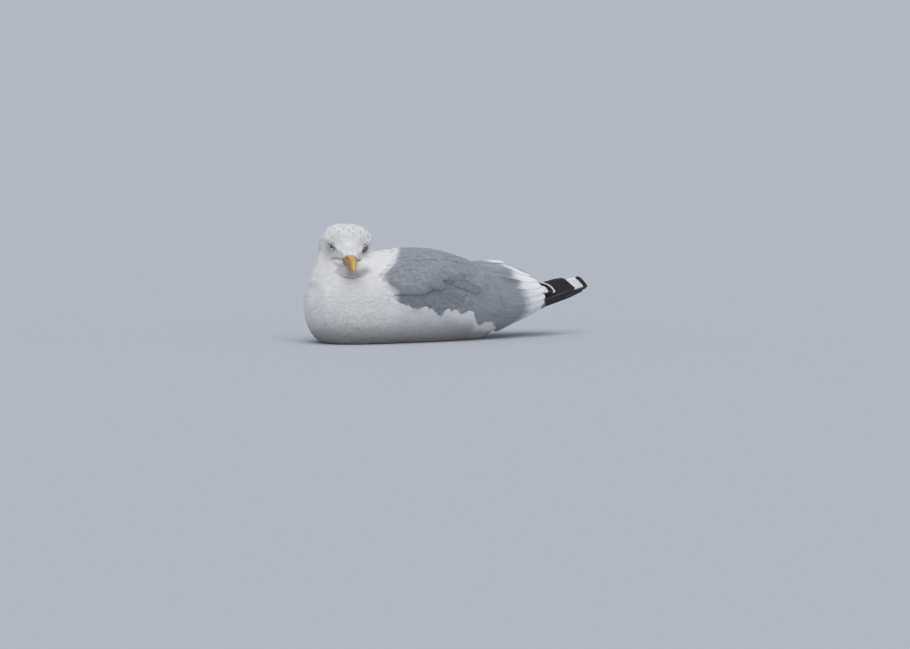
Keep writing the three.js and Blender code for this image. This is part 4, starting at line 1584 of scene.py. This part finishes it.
# %% Eye paint
def eye_paint(side):
    """Wet glass: a pale iris and a small pupil, by the angle from the eye's axis."""
    paint = Paint(f"eye_{side}", (0.6, 0.55, 0.3), 0.12, Coat_Weight=1.0, Coat_Roughness=0.02)
    paint.set("Specular IOR Level", 0.5)
    away = paint.vector("SUBTRACT", paint.place(), {1: in_world(EYE_CENTRES[side])})
    facing = paint.dot(paint.vector("NORMALIZE", away, {}), HEAD.to_3x3() @ EYE_AXES[side])
    streaks = paint.noise(900.0, 2.0)
    iris = paint.mix(paint.soft(streaks, 0.35, 0.7), (0.47, 0.44, 0.31), (0.68, 0.66, 0.52))
    iris = paint.mix(paint.soft(facing, 0.93, 0.965) * 0.5, iris, (0.4, 0.3, 0.12))
    colour = paint.mix(paint.soft(facing, 0.715, 0.76), (0.02, 0.015, 0.012), iris)
    colour = paint.mix(paint.soft(facing, 0.952, 0.962), colour, (0.003, 0.003, 0.003))
    paint.set("Base Color", colour)
    return paint.material


def lid_paint(side):
    """Dark along the edge of the upper lid, partly the bare rim and partly painted shade from the brow. The
    rest is pale, but the left lid gets painted shade all over.
    """
    paint = Paint(f"bare_lid_{side}", (0.1, 0.075, 0.06), 0.55)
    cloud = paint.noise(700.0)
    edge_point, up = lid_plane(side)
    above = (paint.dot(paint.place(), up) - edge_point.dot(up)) / MM
    dark = paint.soft(above, -2.2, -0.8) * (1.0 - paint.soft(above, 1.0, 1.8))
    # Painted shade: the left lid is dark all over, the right one pale.
    tones = {
        "left": [(0.05, 0.047, 0.045), (0.13, 0.125, 0.12)],
        "right": [(0.42, 0.41, 0.39), (0.6, 0.59, 0.57)],
    }
    paint.set("Base Color", paint.mix(dark, paint.mix(cloud, *tones[side]), (0.02, 0.016, 0.014)))
    paint.bump(cloud, 0.15 * MM, 0.6)
    return paint.material


# %% Foot paint
def foot_paint():
    """Small scales on pink skin."""
    paint = Paint("foot_skin", (0.6, 0.36, 0.32), 0.5)
    cells = {"Vector": paint.place(), "Scale": 420.0}
    scales = paint.add("ShaderNodeTexVoronoi", {"feature": "DISTANCE_TO_EDGE"}, cells, output="Distance")
    groove = 1.0 - paint.soft(scales, 0.02, 0.16)
    colour = paint.mix(groove * 0.6, (0.6, 0.36, 0.32), (0.3, 0.16, 0.14))
    paint.set("Base Color", paint.mix(paint.noise(60.0) * 0.4, colour, (0.5, 0.34, 0.3)))
    paint.bump(paint.soft(scales, 0.0, 0.2), 0.3 * MM, 0.8)
    return paint.material


# %% [markdown]
# Every piece now gets its paint and rides on the one body of the frame, and the solids that it stands for are
# hidden.

# %% Finish the pieces
def finish(piece, material, slot, *nodes):
    """Paints a piece and puts it on the frame's one body. The solids `nodes`, which it stands for, are
    hidden.
    """
    piece.data.materials.clear()
    piece.data.materials.append(material)
    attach(piece, "root")
    if nodes:
        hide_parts(*nodes)


mantle = skin.data.attributes.new("mantle", "FLOAT", "POINT")
mantle.data.foreach_set("value", mantle_at(arrays_of(skin)[0]).astype(np.float32))
finish(skin, skin_paint, "white_feathers", *FLESH)
for name, piece in coats.items():
    grey = name == "coat_mantle"
    finish(piece, grey_paint if grey else white_paint, "grey_feathers" if grey else "white_feathers")
for name, piece in wing_coats.items():
    chosen = tertial_paint if "tertials" in name else grey_paint if "scapulars" in name else covert_paint
    finish(piece, chosen, "grey_feathers")
for side_name in OUTWARDS:
    finish(wing_bodies[side_name], wing_body_paint, "grey_feathers", f"wing_{side_name}")
    quills = quill_pieces[f"primary_quills_{side_name}"]
    finish(quills, black_paint, "black_feathers", f"primaries_{side_name}")
    finish(eyes[side_name], eye_paint(side_name), "eye", f"eye_{side_name}")
    finish(lids[side_name], lid_paint(side_name), "eye")
finish(quill_pieces["tail_quills"], tail_paint, "white_feathers", "tail")
finish(bill_pieces["bill_upper"], bill_paint("upper_horn", False), "bill", "bill_upper")
finish(bill_pieces["bill_lower"], bill_paint("lower_horn", True), "bill", "bill_lower")
foot_material = foot_paint()
for node in FEET:
    foot = frame["nodes"][node]
    if not foot.material_slots:
        foot.data.materials.append(foot_material)
    for material_slot in foot.material_slots:
        material_slot.material = foot_material
bpy.data.objects.remove(guide)

# %% [markdown]
# The stage is a plain pale floor under an even, cloudy sky, with a broad soft sun high above. The camera
# stands eight metres away and a little above the floor, with a long lens, so the bird keeps its true
# proportions.

# %% Stage, light and camera
bpy.ops.object.select_all(action="DESELECT")
bpy.ops.mesh.primitive_plane_add(size=240, location=(0, 0, 0))
floor = bpy.context.active_object
floor.name = "floor"
floor_paint = Paint("pale_floor", (0.468, 0.488, 0.53), 0.9, Specular_IOR_Level=0.1)
floor.data.materials.append(floor_paint.material)
floor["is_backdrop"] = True

world = bpy.data.worlds.new("sky")
bpy.context.scene.world = world
world.use_nodes = True
world.node_tree.nodes["Background"].inputs["Color"].default_value = (0.474, 0.5, 0.546, 1)
world.node_tree.nodes["Background"].inputs["Strength"].default_value = 1.0

sun_data = bpy.data.lights.new("soft_sun", "SUN")
sun_data.energy = 1.75
sun_data.angle = math.radians(60)
sun = bpy.data.objects.new("soft_sun", sun_data)
sun.rotation_euler = Vector((-0.22, -0.46, 0.86)).to_track_quat("Z", "Y").to_euler()
bpy.context.collection.objects.link(sun)

AZIMUTH, ELEVATION, DISTANCE = math.radians(-30), math.radians(4), 8.0
SENSOR, VIEW_WIDTH = 36, 910 * 1.42 * MM  # the sensor in millimetres, and what it sees at the bird in metres
level = math.cos(ELEVATION)
back = Vector((math.sin(AZIMUTH) * level, -math.cos(AZIMUTH) * level, math.sin(ELEVATION)))
aim = Vector((87.2, 0, 19.3)) * MM
camera_data = bpy.data.cameras.new("camera")
camera_data.lens, camera_data.sensor_width = SENSOR * DISTANCE / VIEW_WIDTH, SENSOR
camera_data.clip_end = 200
camera = bpy.data.objects.new("camera", camera_data)
camera.location = aim + back * DISTANCE
camera.rotation_euler = (-back).to_track_quat("-Z", "Y").to_euler()
bpy.context.collection.objects.link(camera)
bpy.context.scene.camera = camera
bpy.context.scene.view_settings.view_transform = "Standard"
print("lens, mm:", round(camera_data.lens, 1))

# %% Count the triangles and finish
bpy.context.view_layer.update()
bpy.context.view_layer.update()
meshes = {piece.name: piece.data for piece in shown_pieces() if piece.type == "MESH"}
triangles = {name: sum(len(face.vertices) - 2 for face in mesh.polygons) for name, mesh in meshes.items()}
largest = max(triangles, key=triangles.get)
print("triangles:", sum(triangles.values()), "largest:", largest, triangles[largest])
